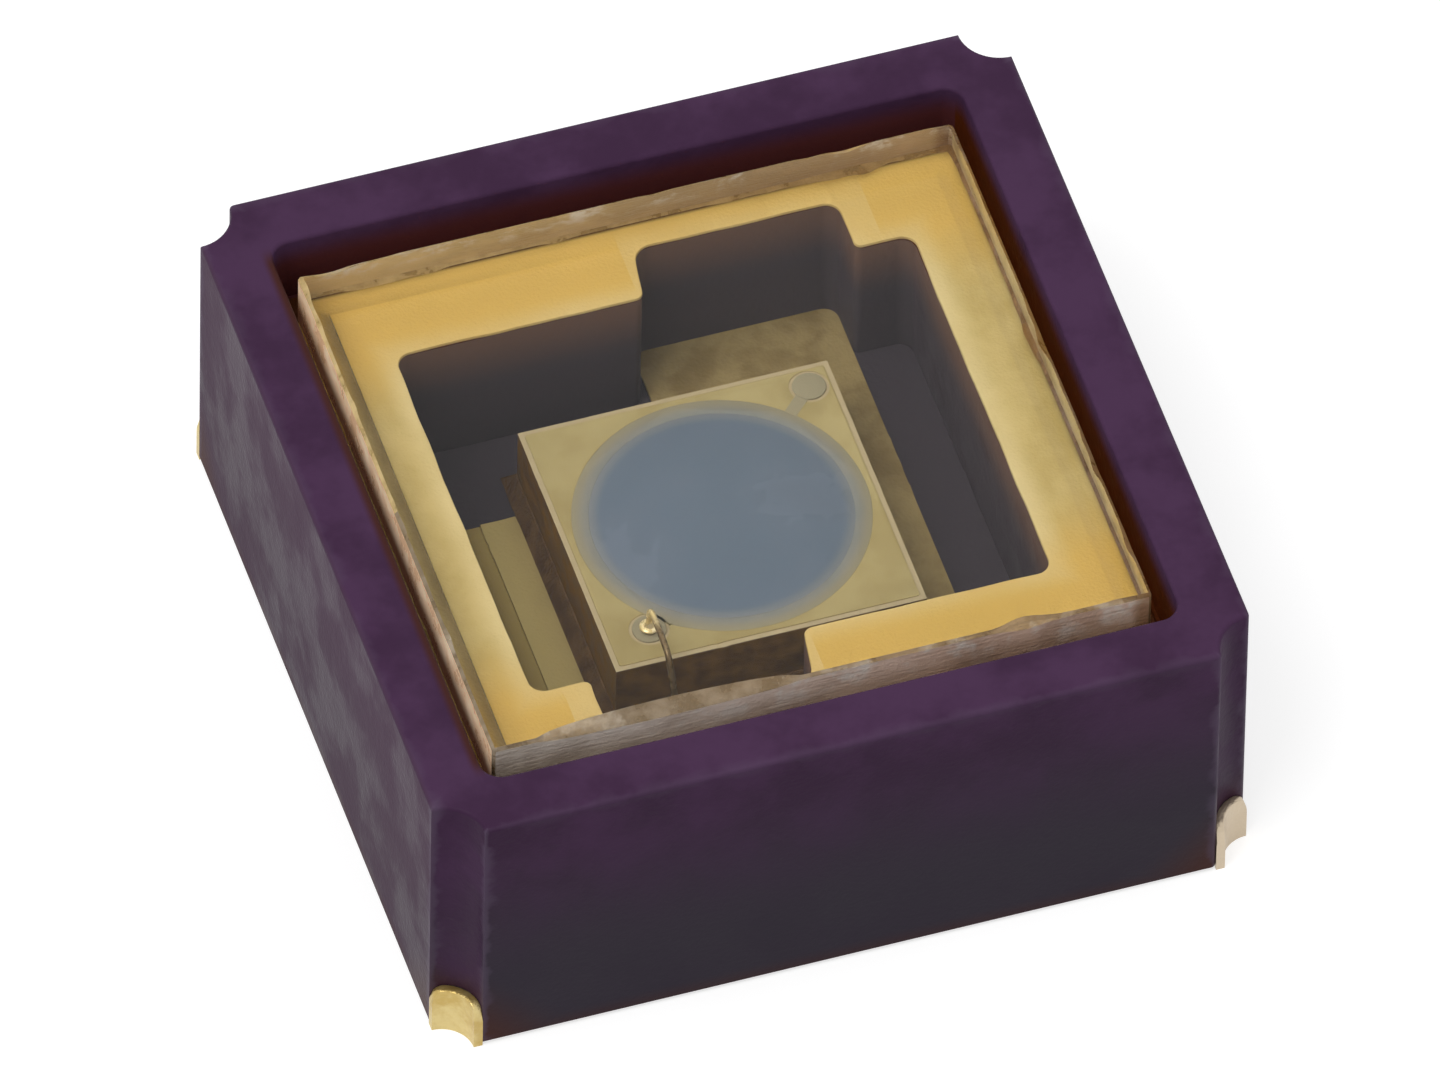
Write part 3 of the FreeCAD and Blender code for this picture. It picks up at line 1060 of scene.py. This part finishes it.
@dataclass
class CavityPlan:
    """The stepped outline of the cavity, which is also the inner outline of the gold frame.

    Attributes:
        half_width: Half the cavity's width.
        half_depth: Half its depth without the notches.
        notch_width: Width of each notch.
        notch_wall: Distance of the notch's end wall from the middle.
        flare: How far the notch's inner side leans outwards at its mouth.
        corner_radius: Radius of the upright corners.
        mouth_radius: Radius of the corners at the notches' mouths.
    """

    half_width: float = 1.02
    half_depth: float = 0.86
    notch_width: float = 0.8
    notch_wall: float = 1.1
    flare: float = 0.04
    corner_radius: float = 0.06
    mouth_radius: float = 0.03

    def outline(self) -> list[Pair]:
        """Gives the outline with sharp corners.

        Returns:
            The plan points, in order.
        """
        side, end, wall = self.half_width, self.half_depth, self.notch_wall
        notch = [(self.notch_width, end), (self.notch_width, wall), (0.0, wall), (-self.flare, end)]
        half = [(side, -end), (side, end)] + notch
        return half + [(-x, -y) for x, y in half]

    def at_mouth(self, point: Vector) -> bool:
        """Tells whether a corner of the outline is at the mouth of a notch."""
        return abs(abs(point.y) - self.half_depth) < TINY and abs(point.x) < self.half_width - TINY

    def add(self, shape: Shape, levels: Pair) -> None:
        """Adds the opening as a prism with rounded corners between two levels."""
        roundings = [(self.mouth_radius, self.at_mouth), (self.corner_radius, anywhere)]
        rounded_prism(shape, self.outline(), levels, roundings)


@dataclass
class CeramicCarrier(SubAssembly):
    """The one-piece fired ceramic body.

    Attributes:
        cavity: The plan of the cavity.
        groove_radius: Radius of the corner grooves.
        recess: Width and depth of the recess for the window.
        recess_radius: Radius of the recess's upright corners.
        rim_round: Radius along the top edges and down the grooves' mouths.
        foot_round: Radius along the bottom edges.
        merging: Distance within which the two points that a groove's rounding leaves at its mouth become one.
    """

    cavity: CavityPlan
    groove_radius: float = 0.16
    recess: Pair = (2.72, 2.72)
    recess_radius: float = 0.08
    rim_round: float = 0.03
    foot_round: float = 0.012
    merging: float = 0.001

    def grooved_outline(self, x: float, y: float) -> list[Pair]:
        """Gives the body's outline with a square notch at each corner, which is rounded later.

        Args:
            x: Half the body's width.
            y: Half its depth.

        Returns:
            The plan points, in order.
        """
        r = self.groove_radius
        half = [(x, -(y - r)), (x, y - r), (x - r, y - r), (x - r, y), (-(x - r), y), (-(x - r), y - r)]
        return half + [(-a, -b) for a, b in half]

    def build(self) -> None:
        """Builds the carrier as one closed shell and dresses it."""
        low, high = node_box_mm("ceramic_body")
        shelf = node_box_mm("shelf_metallisation")[0].z
        floor = node_box_mm("die_pad")[0].z
        inner = (high.x - self.groove_radius, high.y - self.groove_radius)

        def in_groove(corner: Vector) -> bool:
            """Tells whether a corner of the outline is the inner one of a groove."""
            return abs(abs(corner.x) - inner[0]) < TINY and abs(abs(corner.y) - inner[1]) < TINY

        def at_groove_mouth(edge: Edge) -> bool:
            """Tells whether an edge runs up the body where a groove meets its side."""
            first, second = (vert.co for vert in edge.verts)
            outermost = max(abs(first.x), abs(first.y)) > high.x - TINY
            return outermost and abs(first.z - second.z) > 1.0 and edge.calc_face_angle(0.0) > SHARP

        shape = bmesh.new()
        almost_round = [(self.groove_radius * 0.999, in_groove)]
        rounded_prism(shape, self.grooved_outline(high.x, high.y), (low.z, high.z), almost_round, 14)
        bmesh.ops.remove_doubles(shape, verts=shape.verts, dist=self.merging)
        rounded_prism(shape, rectangle(*self.recess), (shelf, high.z), [(self.recess_radius, anywhere)])
        self.cavity.add(shape, (floor, shelf))
        for change in (open_level, close_level):
            for level in (high.z, shelf):
                change(shape, level)
        face_outwards(shape)
        mouths = [edge for edge in shape.edges if at_groove_mouth(edge)]
        round_edges(shape, sharp_edges(shape, high.z) + mouths, self.rim_round, 4)
        round_edges(shape, sharp_edges(shape, low.z), self.foot_round, 2)
        self.settle("ceramic_carrier", shape, [CERAMIC], "dark_ceramic", ["ceramic_body"])


@dataclass
class GoldPrints(SubAssembly):
    """The gold frame on the shelf, and the pads on the cavity floor.

    Attributes:
        cavity: The plan of the cavity.
        corner_radius: Radius of the frame's outer corners.
        edge_round: Rounding of the print's upper edges.
        waviness: How far the printed edge strays from its line.
        waves: Waves of that edge per millimetre.
        overlap: How far the print's upper face stands in the adhesive, so that no two faces share a plane.
    """

    cavity: CavityPlan
    corner_radius: float = 0.06
    edge_round: float = 0.006
    waviness: float = 0.006
    waves: float = 7.0
    overlap: float = 0.001

    def build(self) -> None:
        """Builds the frame and dresses the pads and tracks."""
        low, high = node_box_mm("shelf_metallisation")
        shape = bmesh.new()
        levels = (low.z, high.z + self.overlap)
        rounded_prism(shape, rectangle(2 * high.x, 2 * high.y), levels, [(self.corner_radius, anywhere)])
        self.cavity.add(shape, levels)
        for level in levels:
            open_level(shape, level)
        rims = [edge for edge in shape.edges if edge.calc_length() > 0.1]
        bmesh.ops.subdivide_edges(shape, edges=rims, cuts=24)
        for vert in shape.verts:
            stray = noise.noise_vector(Vector((vert.co.x, vert.co.y, 0.0)) * self.waves) * self.waviness
            inside = max(0.0, min(1.0, 20 * (high.x - max(abs(vert.co.x), abs(vert.co.y)))))
            vert.co.x += stray.x * inside
            vert.co.y += stray.y * inside
        for level in levels:
            close_level(shape, level)
        face_outwards(shape)
        round_edges(shape, sharp_edges(shape, levels[1]), self.edge_round, 2)
        self.settle("gold_frame", shape, [SHELF_GOLD], "gold_print", ["shelf_metallisation"])
        for node in ("die_pad", "bond_pad"):
            self.dress(node, FLOOR_GOLD, "gold_print")
        for node in ("anode_track", "cathode_track"):
            self.dress(node, BURIED_METAL, "buried_metal")


@dataclass
class Window(SubAssembly):
    """The diced glass window and the adhesive under its edge.

    Attributes:
        chamfer: Width of the broken edge where the glass isn't chipped.
        chip_depth: Greatest reach of a chip.
        chips: Chips per millimetre of edge.
        edge_band: Distance from a side within which a flat face's vertices belong to that side.
        flake: Middle and half length of the long flake along the front edge.
        flake_depth: Reach of that flake.
        cuts: Cuts along each edge.
        clearance: How far the lower face stays clear of the adhesive's.
    """

    chamfer: float = 0.012
    chip_depth: float = 0.06
    chips: float = 3.2
    edge_band: float = 0.05
    flake: Pair = (-0.6, 0.5)
    flake_depth: float = 0.045
    cuts: int = 95
    clearance: float = 0.001

    def chip(self, place: Vector, low: Vector, high: Vector) -> None:
        """Moves one vertex of the broken edge inwards along its face.

        Args:
            place: The vertex's place, which is changed.
            low: Lowest corner of the glass.
            high: Highest corner of the glass.
        """
        upper = place.z > (low.z + high.z) / 2
        on_flat = place.z > high.z - TINY or place.z < low.z + TINY
        seat = Vector((place.x, place.y, 8.0 if upper else -8.0)) * self.chips
        rough = noise.noise(seat) * 0.7 + noise.noise(seat * 2.7) * 0.4
        reach = self.chip_depth * max(0.0, rough) ** 1.5
        if upper and place.y < 0:
            away = (place.x - self.flake[0]) / self.flake[1]
            reach = max(reach, self.flake_depth * math.sqrt(max(0.0, 1 - away * away)))
        if on_flat:
            at_side = high.x - abs(place.x) < self.edge_band
            at_end = high.y - abs(place.y) < self.edge_band
            if at_side:
                place.x -= math.copysign(reach, place.x)
            if at_end:
                place.y -= math.copysign(reach, place.y)
        elif self.chamfer < place.z - low.z + TINY and place.z < high.z:
            place.z += (-1.0 if upper else 1.0) * reach * 0.6

    def kind(self, face: Face, flats: Pair) -> GlassFace:
        """Tells what kind of face one of the window's faces is.

        Args:
            face: The face.
            flats: Levels of the two polished faces.

        Returns:
            The kind.
        """
        if any(all_at(face, level) for level in flats):
            return GlassFace.POLISHED
        if abs(face.normal.x) > 0.95:
            return GlassFace.LEFT_SIDE if face.normal.x < 0 else GlassFace.RIGHT_SIDE
        return GlassFace.SAWN_END if abs(face.normal.y) > 0.95 else GlassFace.BROKEN_EDGE

    def build(self) -> None:
        """Builds the window and dresses the adhesive."""
        low, high = node_box_mm("window_glass")
        low.z += self.clearance
        flats = (low.z, high.z)
        shape = bmesh.new()
        move(shape, bmesh.ops.create_cube(shape, size=1.0)["verts"], high - low, (low + high) / 2)
        round_edges(shape, list(shape.edges), self.chamfer, 1)
        longs = [edge for edge in shape.edges if edge.calc_length() > 1.0]
        bmesh.ops.subdivide_edges(shape, edges=longs, cuts=self.cuts, use_grid_fill=True)
        for level in flats:
            bmesh.ops.dissolve_faces(shape, faces=[face for face in shape.faces if all_at(face, level)])
        for vert in list(shape.verts):
            self.chip(vert.co, low, high)
        face_outwards(shape)
        for face in shape.faces:
            face.material_index = self.kind(face, flats).value
        finishes = [WINDOW_GLASS, LEFT_SIDE_GLASS, RIGHT_SIDE_SHADED_GLASS, SAWN_GLASS, BROKEN_GLASS]
        self.settle("window", shape, finishes, "window_glass", ["window_glass"])
        self.dress("window_seal", CLEAR_ADHESIVE, "clear_adhesive")


@dataclass
class PhotodiodeChip(SubAssembly):
    """The die with its films, and the joint under it.

    Attributes:
        active_radius: Radius of the active area.
        ring_radius: Outer radius of the ring contact.
        pad_radius: Radius of the two bond pads on the chip.
        pads: Centres of the two pads.
        neck_width: Width of the necks between the ring and the pads.
        neck_drop: How far a neck stays below the top of its pad.
        neck_lap: How far a neck reaches into the ring and into its pad.
        film_gap: Clear gap round the contact's metal.
        film_round: Rounding of the films' upper edges.
        pad_round: Rounding of the pads' upper edges.
        segments: Faces round the largest circle.
    """

    active_radius: float = 0.5
    ring_radius: float = 0.565
    pad_radius: float = 0.065
    pads: tuple[Pair, Pair] = ((-0.43, -0.45), (0.505, 0.505))
    neck_width: float = 0.05
    neck_drop: float = 0.003
    neck_lap: float = 0.004
    film_gap: float = 0.012
    film_round: float = 0.0015
    pad_round: float = 0.003
    segments: int = 128

    def disc(self, shape: Shape, radius: float, levels: Pair) -> None:
        """Adds a large round disc at the chip's middle."""
        round_post(shape, (0.0, 0.0), radius, levels, self.segments)

    def finish_film(self, shape: Shape, levels: Pair) -> None:
        """Turns the prisms that stand in a film's prism into holes, and rounds its upper edges.

        Args:
            shape: The film.
            levels: Its bottom and its top.
        """
        for level in levels:
            open_level(shape, level)
            close_level(shape, level)
        face_outwards(shape)
        round_edges(shape, sharp_edges(shape, levels[1]), self.film_round, 2)

    def field_film(self) -> None:
        """Builds the light-shielding film round the contact."""
        low, high = node_box_mm("chip_field_layer")
        levels = (low.z, high.z)
        shape = bmesh.new()
        rounded_prism(shape, rectangle(high.x - low.x, high.y - low.y), levels, [(0.01, anywhere)], 3)
        self.disc(shape, self.ring_radius, levels)
        for pad in self.pads:
            round_post(shape, pad, self.pad_radius + self.film_gap, levels, 32)
        self.finish_film(shape, levels)
        self.settle("field_film", shape, [FIELD_FILM], "field_film", ["chip_field_layer"])

    def neck(self, shape: Shape, pad: Pair, levels: Pair) -> None:
        """Adds the neck between the ring and a pad, unless the two already meet.

        Args:
            shape: The mesh.
            pad: The pad's centre.
            levels: The bottom and the top of the pad.
        """
        start = self.ring_radius - self.neck_lap
        end = math.hypot(*pad) - self.pad_radius + self.neck_lap
        if end < start + 0.01:
            return
        height = levels[1] - levels[0] - self.neck_drop
        verts = bmesh.ops.create_cube(shape, size=1.0)["verts"]
        move(shape, verts, (end - start, self.neck_width, height), ((start + end) / 2, 0, levels[0] + height / 2))
        turn = Matrix.Rotation(math.atan2(pad[1], pad[0]), 3, "Z")
        bmesh.ops.rotate(shape, cent=(0, 0, 0), matrix=turn, verts=verts)

    def contact(self) -> None:
        """Builds the ring contact with its necks and pads."""
        low, high = node_box_mm("chip_top_contact")
        film_levels = (low.z, node_box_mm("chip_field_layer")[1].z)
        shape = bmesh.new()
        self.disc(shape, self.ring_radius, film_levels)
        self.disc(shape, self.active_radius, film_levels)
        self.finish_film(shape, film_levels)
        for pad in self.pads:
            round_post(shape, pad, self.pad_radius, (low.z, high.z), 40)
            self.neck(shape, pad, (low.z, high.z))
        bmesh.ops.recalc_face_normals(shape, faces=shape.faces)
        round_edges(shape, sharp_edges(shape, high.z), self.pad_round, 3)
        self.settle("ring_contact", shape, [CONTACT_FILM], "contact_film", ["chip_top_contact"])

    def active_area(self) -> None:
        """Builds the coated disc that takes the light."""
        low, high = node_box_mm("chip_active_area")
        shape = bmesh.new()
        self.disc(shape, high.x, (low.z, high.z))
        face_outwards(shape)
        round_edges(shape, sharp_edges(shape, high.z), self.film_round, 2)
        self.settle("active_area", shape, [ACTIVE_COATING], "active_coating", ["chip_active_area"])

    def build(self) -> None:
        """Builds the films and dresses the die and its joint."""
        self.field_film()
        self.contact()
        self.active_area()
        self.dress("photodiode_chip", SEMICONDUCTOR, "semiconductor")
        self.dress("chip_back_contact", FILM_GOLD, "gold_film")
        self.dress("die_attach", SILVER_EPOXY, "silver_epoxy")


@dataclass
class BondWire(SubAssembly):
    """The gold wire from the chip's front pad to the pad in the front notch.

    Attributes:
        wire_radius: Radius of the wire.
        ball_radius: Radius of the squashed ball.
        ball_height: Height of the ball.
        squash: The ball's half height, as a share of its height.
        loop_height: Height of the loop over the chip.
        overhang: How far the loop runs past the chip's edge before it falls.
        stitch_radius: Radius of the flattened end.
        stitch_shape: Its width, length and height, as shares of that radius.
        lean: How far the wire's first bend and its end lie past the points they stand at.
    """

    wire_radius: float = 0.0125
    ball_radius: float = 0.0375
    ball_height: float = 0.02
    squash: float = 0.62
    loop_height: float = 0.13
    overhang: float = 0.075
    stitch_radius: float = 0.03
    stitch_shape: tuple[float, float, float] = (0.9, 1.0, 0.2)
    lean: float = 0.012

    def route(self) -> list[Vector]:
        """Gives the points that the wire follows.

        Returns:
            The points from the ball over the loop's three bends to the stitch.
        """
        low, high = node_box_mm("bond_wire")
        chip_low, chip_high = node_box_mm("photodiode_chip")
        x = (low.x + high.x) / 2
        y = high.y - self.ball_radius
        landing = low.y + self.stitch_radius
        rest = low.z + self.wire_radius
        crest = chip_high.z + self.loop_height
        path = [
            (y, node_box_mm("chip_top_contact")[1].z + self.ball_height),
            (y, crest - 0.05),
            (y - self.lean, crest + 0.006),
            (chip_low.y - self.overhang * 0.4, crest + 0.004),
            (chip_low.y - self.overhang - 0.02, crest - 0.03),
            (landing + 0.09, rest + 0.07),
            (landing + 0.045, rest + 0.004),
            (landing - self.lean, rest - 0.004),
        ]
        return [Vector((x, *point)) for point in path]

    def tube(self, points: Sequence[Vector]) -> Shape:
        """Sweeps the wire along a smooth curve through its route.

        Args:
            points: The route.

        Returns:
            The wire.
        """
        line = bpy.data.curves.new("wire_line", "CURVE")
        line.dimensions = "3D"
        line.bevel_depth = self.wire_radius
        line.bevel_resolution = 6
        line.use_fill_caps = True
        spline = line.splines.new("NURBS")
        spline.points.add(len(points) - 1)
        for point, place in zip(spline.points, points):
            point.co = (*place, 1.0)
        spline.order_u = 3
        spline.use_endpoint_u = True
        spline.resolution_u = 16
        swept = bpy.data.objects.new("wire_line", line)
        mesh = bpy.data.meshes.new_from_object(swept)
        shape = bmesh.new()
        shape.from_mesh(mesh)
        bpy.data.objects.remove(swept)
        bpy.data.curves.remove(line)
        bpy.data.meshes.remove(mesh)
        return shape

    def build(self) -> None:
        """Builds the wire with its ball and its stitch."""
        points = self.route()
        shape = self.tube(points)
        foot = points[0] - Vector((0, 0, self.ball_height))
        rise = Vector((0, 0, self.ball_height))
        ball = bmesh.ops.create_uvsphere(shape, u_segments=32, v_segments=16, radius=self.ball_radius)["verts"]
        flat = (1, 1, self.ball_height / self.ball_radius * self.squash)
        move(shape, ball, flat, foot + rise * self.squash)
        bmesh.ops.create_cone(
            shape, cap_ends=True, segments=32, radius1=self.ball_radius * self.squash, radius2=self.wire_radius,
            depth=self.ball_height, matrix=Matrix.Translation(foot + rise * 1.5),
        )
        stitch = bmesh.ops.create_uvsphere(shape, u_segments=32, v_segments=12, radius=self.stitch_radius)["verts"]
        seat = node_box_mm("bond_wire")[0].z + self.stitch_radius * self.stitch_shape[2]
        move(shape, stitch, self.stitch_shape, (points[-1].x, points[-1].y + self.lean, seat))
        bmesh.ops.recalc_face_normals(shape, faces=shape.faces)
        self.settle("bond_wire_loop", shape, [WIRE_GOLD_LIGHT_AND_SHADE], "gold_wire", ["bond_wire"])


@dataclass
class SolderTerminals(SubAssembly):
    """The plated corner grooves and the solder lands under the carrier.

    Attributes:
        groove_radius: Radius of the groove.
        plating: Thickness of the metal in it.
        shoulder: Radius of the lining's upper corners.
        lining_round: Rounding of the lining's upper edges.
        land: Side of a land.
        land_round: Rounding of a land's lower edges.
        setback: Distance of a land from the body's edges.
        index_chamfer: Chamfer that marks the first land.
        steps: Steps round the lining.
    """

    groove_radius: float = 0.16
    plating: float = 0.035
    shoulder: float = 0.06
    lining_round: float = 0.008
    land: float = 0.62
    land_round: float = 0.005
    setback: float = 0.04
    index_chamfer: float = 0.18
    steps: int = 20

    def lining(self, shape: Shape, height: float) -> None:
        """Adds the metal lining of a groove at the origin, towards +X and +Y.

        Args:
            shape: The mesh.
            height: The lining's height.
        """
        inner, outer = self.groove_radius - self.plating, self.groove_radius
        corners = [(inner, 0.0), (outer, 0.0), (outer, height), (inner, height)]
        face = shape.faces.new([shape.verts.new((x, 0.0, z)) for x, z in corners])
        geometry = [face, *face.edges, *face.verts]
        bmesh.ops.spin(shape, geom=geometry, cent=(0, 0, 0), axis=(0, 0, 1), angle=QUARTER, steps=self.steps)
        for vert in shape.verts:
            turn = math.atan2(vert.co.y, vert.co.x)
            run = outer * min(turn, QUARTER - turn)
            if vert.co.z > height / 2 and run < self.shoulder:
                vert.co.z -= self.shoulder - math.sqrt(max(0.0, self.shoulder**2 - (self.shoulder - run) ** 2))
        face_outwards(shape)
        tops = [
            edge for edge in shape.edges
            if is_sharp(edge) and min(vert.co.z for vert in edge.verts) > height / 4
        ]
        round_edges(shape, tops, self.lining_round, 2)

    def pad(self, shape: Shape, thickness: float, marked: bool) -> None:
        """Adds the solder land under a corner.

        Args:
            shape: The mesh.
            thickness: The land's thickness.
            marked: True for the land with the index chamfer.
        """
        near, far = self.setback, self.setback + self.land
        bore = math.sqrt((self.groove_radius - self.plating) ** 2 - near**2)
        inner = [(far - self.index_chamfer, far), (far, far - self.index_chamfer)] if marked else [(far, far)]
        outline = [(bore, bore), (near, bore), (near, far), *inner, (far, near), (bore, near)]

        def at_bore(corner: Vector) -> bool:
            """Tells whether a corner of the land is the one at the groove."""
            return abs(corner.x - bore) < TINY and abs(corner.y - bore) < TINY

        made = bmesh.new()
        rounded_prism(made, outline, (0.0, thickness), [((bore - near) * 0.99, at_bore)])
        face_outwards(made)
        round_edges(made, sharp_edges(made, 0.0), self.land_round, 2)
        loose = keep_mesh("land", made)
        shape.from_mesh(loose)
        bpy.data.meshes.remove(loose)

    def build(self) -> None:
        """Builds the terminals at their corners."""
        low, high = node_box_mm("ceramic_body")
        for corner in Corner:
            place = corner.name.lower()
            node = "terminal_" + place
            shape = bmesh.new()
            self.lining(shape, node_box_mm(node)[1].z)
            self.pad(shape, low.z, corner is Corner.FRONT_LEFT)
            x, y = corner.value
            move(shape, shape.verts, (-x, -y, 1), (x * high.x, y * high.y, 0))
            bmesh.ops.recalc_face_normals(shape, faces=shape.faces)
            self.settle("plated_" + place, shape, [PLATED_GOLD], "gold_plating", [node])


@dataclass
class Studio:
    """The pale floor, the light and the camera.

    Attributes:
        floor_half: Half the floor's side, in metres.
        floor_glow: How brightly the floor shows as a background.
        floor_blotch: Its faint blotches per millimetre.
        azimuth: The camera's turn round the object, in degrees.
        elevation: Its height above the horizon, in degrees.
        roll: Its roll, in degrees.
        distance: Its distance from the target, in metres.
        target: The point it looks at, in millimetres.
        scale: Picture elements per millimetre at the target.
        frame_size: Width and height of the photograph, in picture elements.
        target_pixel: Where the target lies in it.
        sensor: Width of the camera's sensor, in its own millimetres.
        lamp: Strength of the key lamp.
        lamp_angle: Width of the key lamp in the sky, in degrees.
        lamp_towards: The direction from the object to the key lamp.
    """

    floor_half: float = 0.12
    floor_glow: float = 0.64
    floor_blotch: float = 0.4
    azimuth: float = -18.6
    elevation: float = 49.97
    roll: float = 1.12
    distance: float = 0.17
    target: tuple[float, float, float] = (0.0, 0.0, 0.6)
    scale: float = 266.7
    frame_size: tuple[int, int] = (1440, 1080)
    target_pixel: Pair = (721.5, 541.0)
    sensor: float = 36.0
    lamp: float = 1.1
    lamp_angle: float = 35.0
    lamp_towards: tuple[float, float, float] = (-0.5, -0.2, 0.85)

    def add(self, name: str, data: bpy.types.ID) -> bpy.types.Object:
        """Puts a camera, a light or a mesh into the scene.

        Args:
            name: The object's name.
            data: What it shows.

        Returns:
            The object.
        """
        made = bpy.data.objects.new(name, data)
        bpy.context.scene.collection.objects.link(made)
        return made

    def camera(self) -> None:
        """Places the camera at the photograph's viewing angle."""
        width, height = self.frame_size
        data = bpy.data.cameras.new("camera")
        data.sensor_width = self.sensor
        data.lens = self.sensor * self.distance / (width / self.scale * MM)
        data.clip_start = self.distance / 100
        data.clip_end = self.distance * 20
        data.shift_x = -(self.target_pixel[0] - width / 2) / width
        data.shift_y = (self.target_pixel[1] - height / 2) / width
        azimuth, elevation = math.radians(self.azimuth), math.radians(self.elevation)
        level = math.cos(elevation)
        back = Vector((math.sin(azimuth) * level, -math.cos(azimuth) * level, math.sin(elevation)))
        camera = self.add("camera", data)
        camera.rotation_mode = "QUATERNION"
        roll = Euler((0, 0, math.radians(self.roll))).to_quaternion()
        camera.rotation_quaternion = (-back).to_track_quat("-Z", "Y") @ roll
        camera.location = Vector(self.target) * MM + back * self.distance
        bpy.context.scene.camera = camera

    def floor(self) -> None:
        """Lays the pale floor, which shows only from above."""
        made = bpy.data.materials.new("pale_floor")
        made.use_nodes = True
        bench = Ground(made.node_tree, self.floor_blotch)
        paint = bench.blend(bench.mask, (0.49, 0.49, 0.49, 1.0), (0.51, 0.51, 0.51, 1.0))
        matt = bench.place("BsdfDiffuse", {"Color": paint})
        glow = bench.place("Emission", {"Color": WHITE, "Strength": self.seen(bench) * self.floor_glow})
        lit = bench.place("AddShader", {0: matt, 1: glow})
        under = bench.place("NewGeometry").outputs["Backfacing"]
        surface = bench.place("MixShader", {0: under, 1: lit, 2: bench.place("BsdfTransparent")})
        bench.place("OutputMaterial", {"Surface": surface})
        shape = bmesh.new()
        bmesh.ops.create_grid(shape, x_segments=2, y_segments=2, size=self.floor_half)
        mesh = keep_mesh("floor", shape)
        mesh.materials.append(made)
        floor = self.add("floor", mesh)

    def seen(self, bench: NodeBench) -> Value:
        """Marks the rays that show the background, apart from those that only light something.

        Args:
            bench: The bench of the material or world.

        Returns:
            One for such rays, and nothing for the others.
        """
        rays = bench.place("LightPath").outputs
        shown = bench.reckon("MAXIMUM", rays["Is Camera Ray"], rays["Is Glossy Ray"])
        return bench.reckon("MAXIMUM", shown, rays["Is Transmission Ray"])

    def light(self) -> None:
        """Sets the soft surround, which shows as plain white, and the key lamp."""
        world = bpy.data.worlds.new("surround")
        bpy.context.scene.world = world
        world.use_nodes = True
        bench = NodeBench(world.node_tree)
        up = bench.axes(bench.place("TexCoord").outputs["Generated"])[2]
        ambient = bench.place("Background", {"Color": WHITE, "Strength": up.ease(-0.1, 0.8, 0.35, 0.85)})
        white = bench.place("Background", {"Color": WHITE, "Strength": 1.0})
        bench.place("OutputWorld", {
            "Surface": bench.place("MixShader", {0: self.seen(bench), 1: ambient, 2: white}),
        })
        key = bpy.data.lights.new("key", "SUN")
        key.energy = self.lamp
        key.angle = math.radians(self.lamp_angle)
        lamp = self.add("key", key)
        lamp.rotation_mode = "QUATERNION"
        lamp.rotation_quaternion = Vector(self.lamp_towards).to_track_quat("Z", "Y")
        lamp.location = (-0.03, -0.012, 0.05)

    def build(self) -> None:
        """Builds the studio."""
        self.camera()
        self.floor()
        self.light()
        bpy.context.scene.view_settings.view_transform = "Standard"
        LOG.info("studio: camera, floor and light are in place")


def main() -> None:
    """Builds every sub-assembly in order and reports it."""
    logging.basicConfig(level=logging.INFO, format="%(name)s: %(message)s")
    cavity = CavityPlan()
    assemblies = [
        Studio(),
        CeramicCarrier(cavity),
        GoldPrints(cavity),
        Window(),
        PhotodiodeChip(),
        BondWire(),
        SolderTerminals(),
    ]
    for assembly in assemblies:
        LOG.info("building %s", type(assembly).__name__)
        assembly.build()


if __name__ == "__main__":
    main()
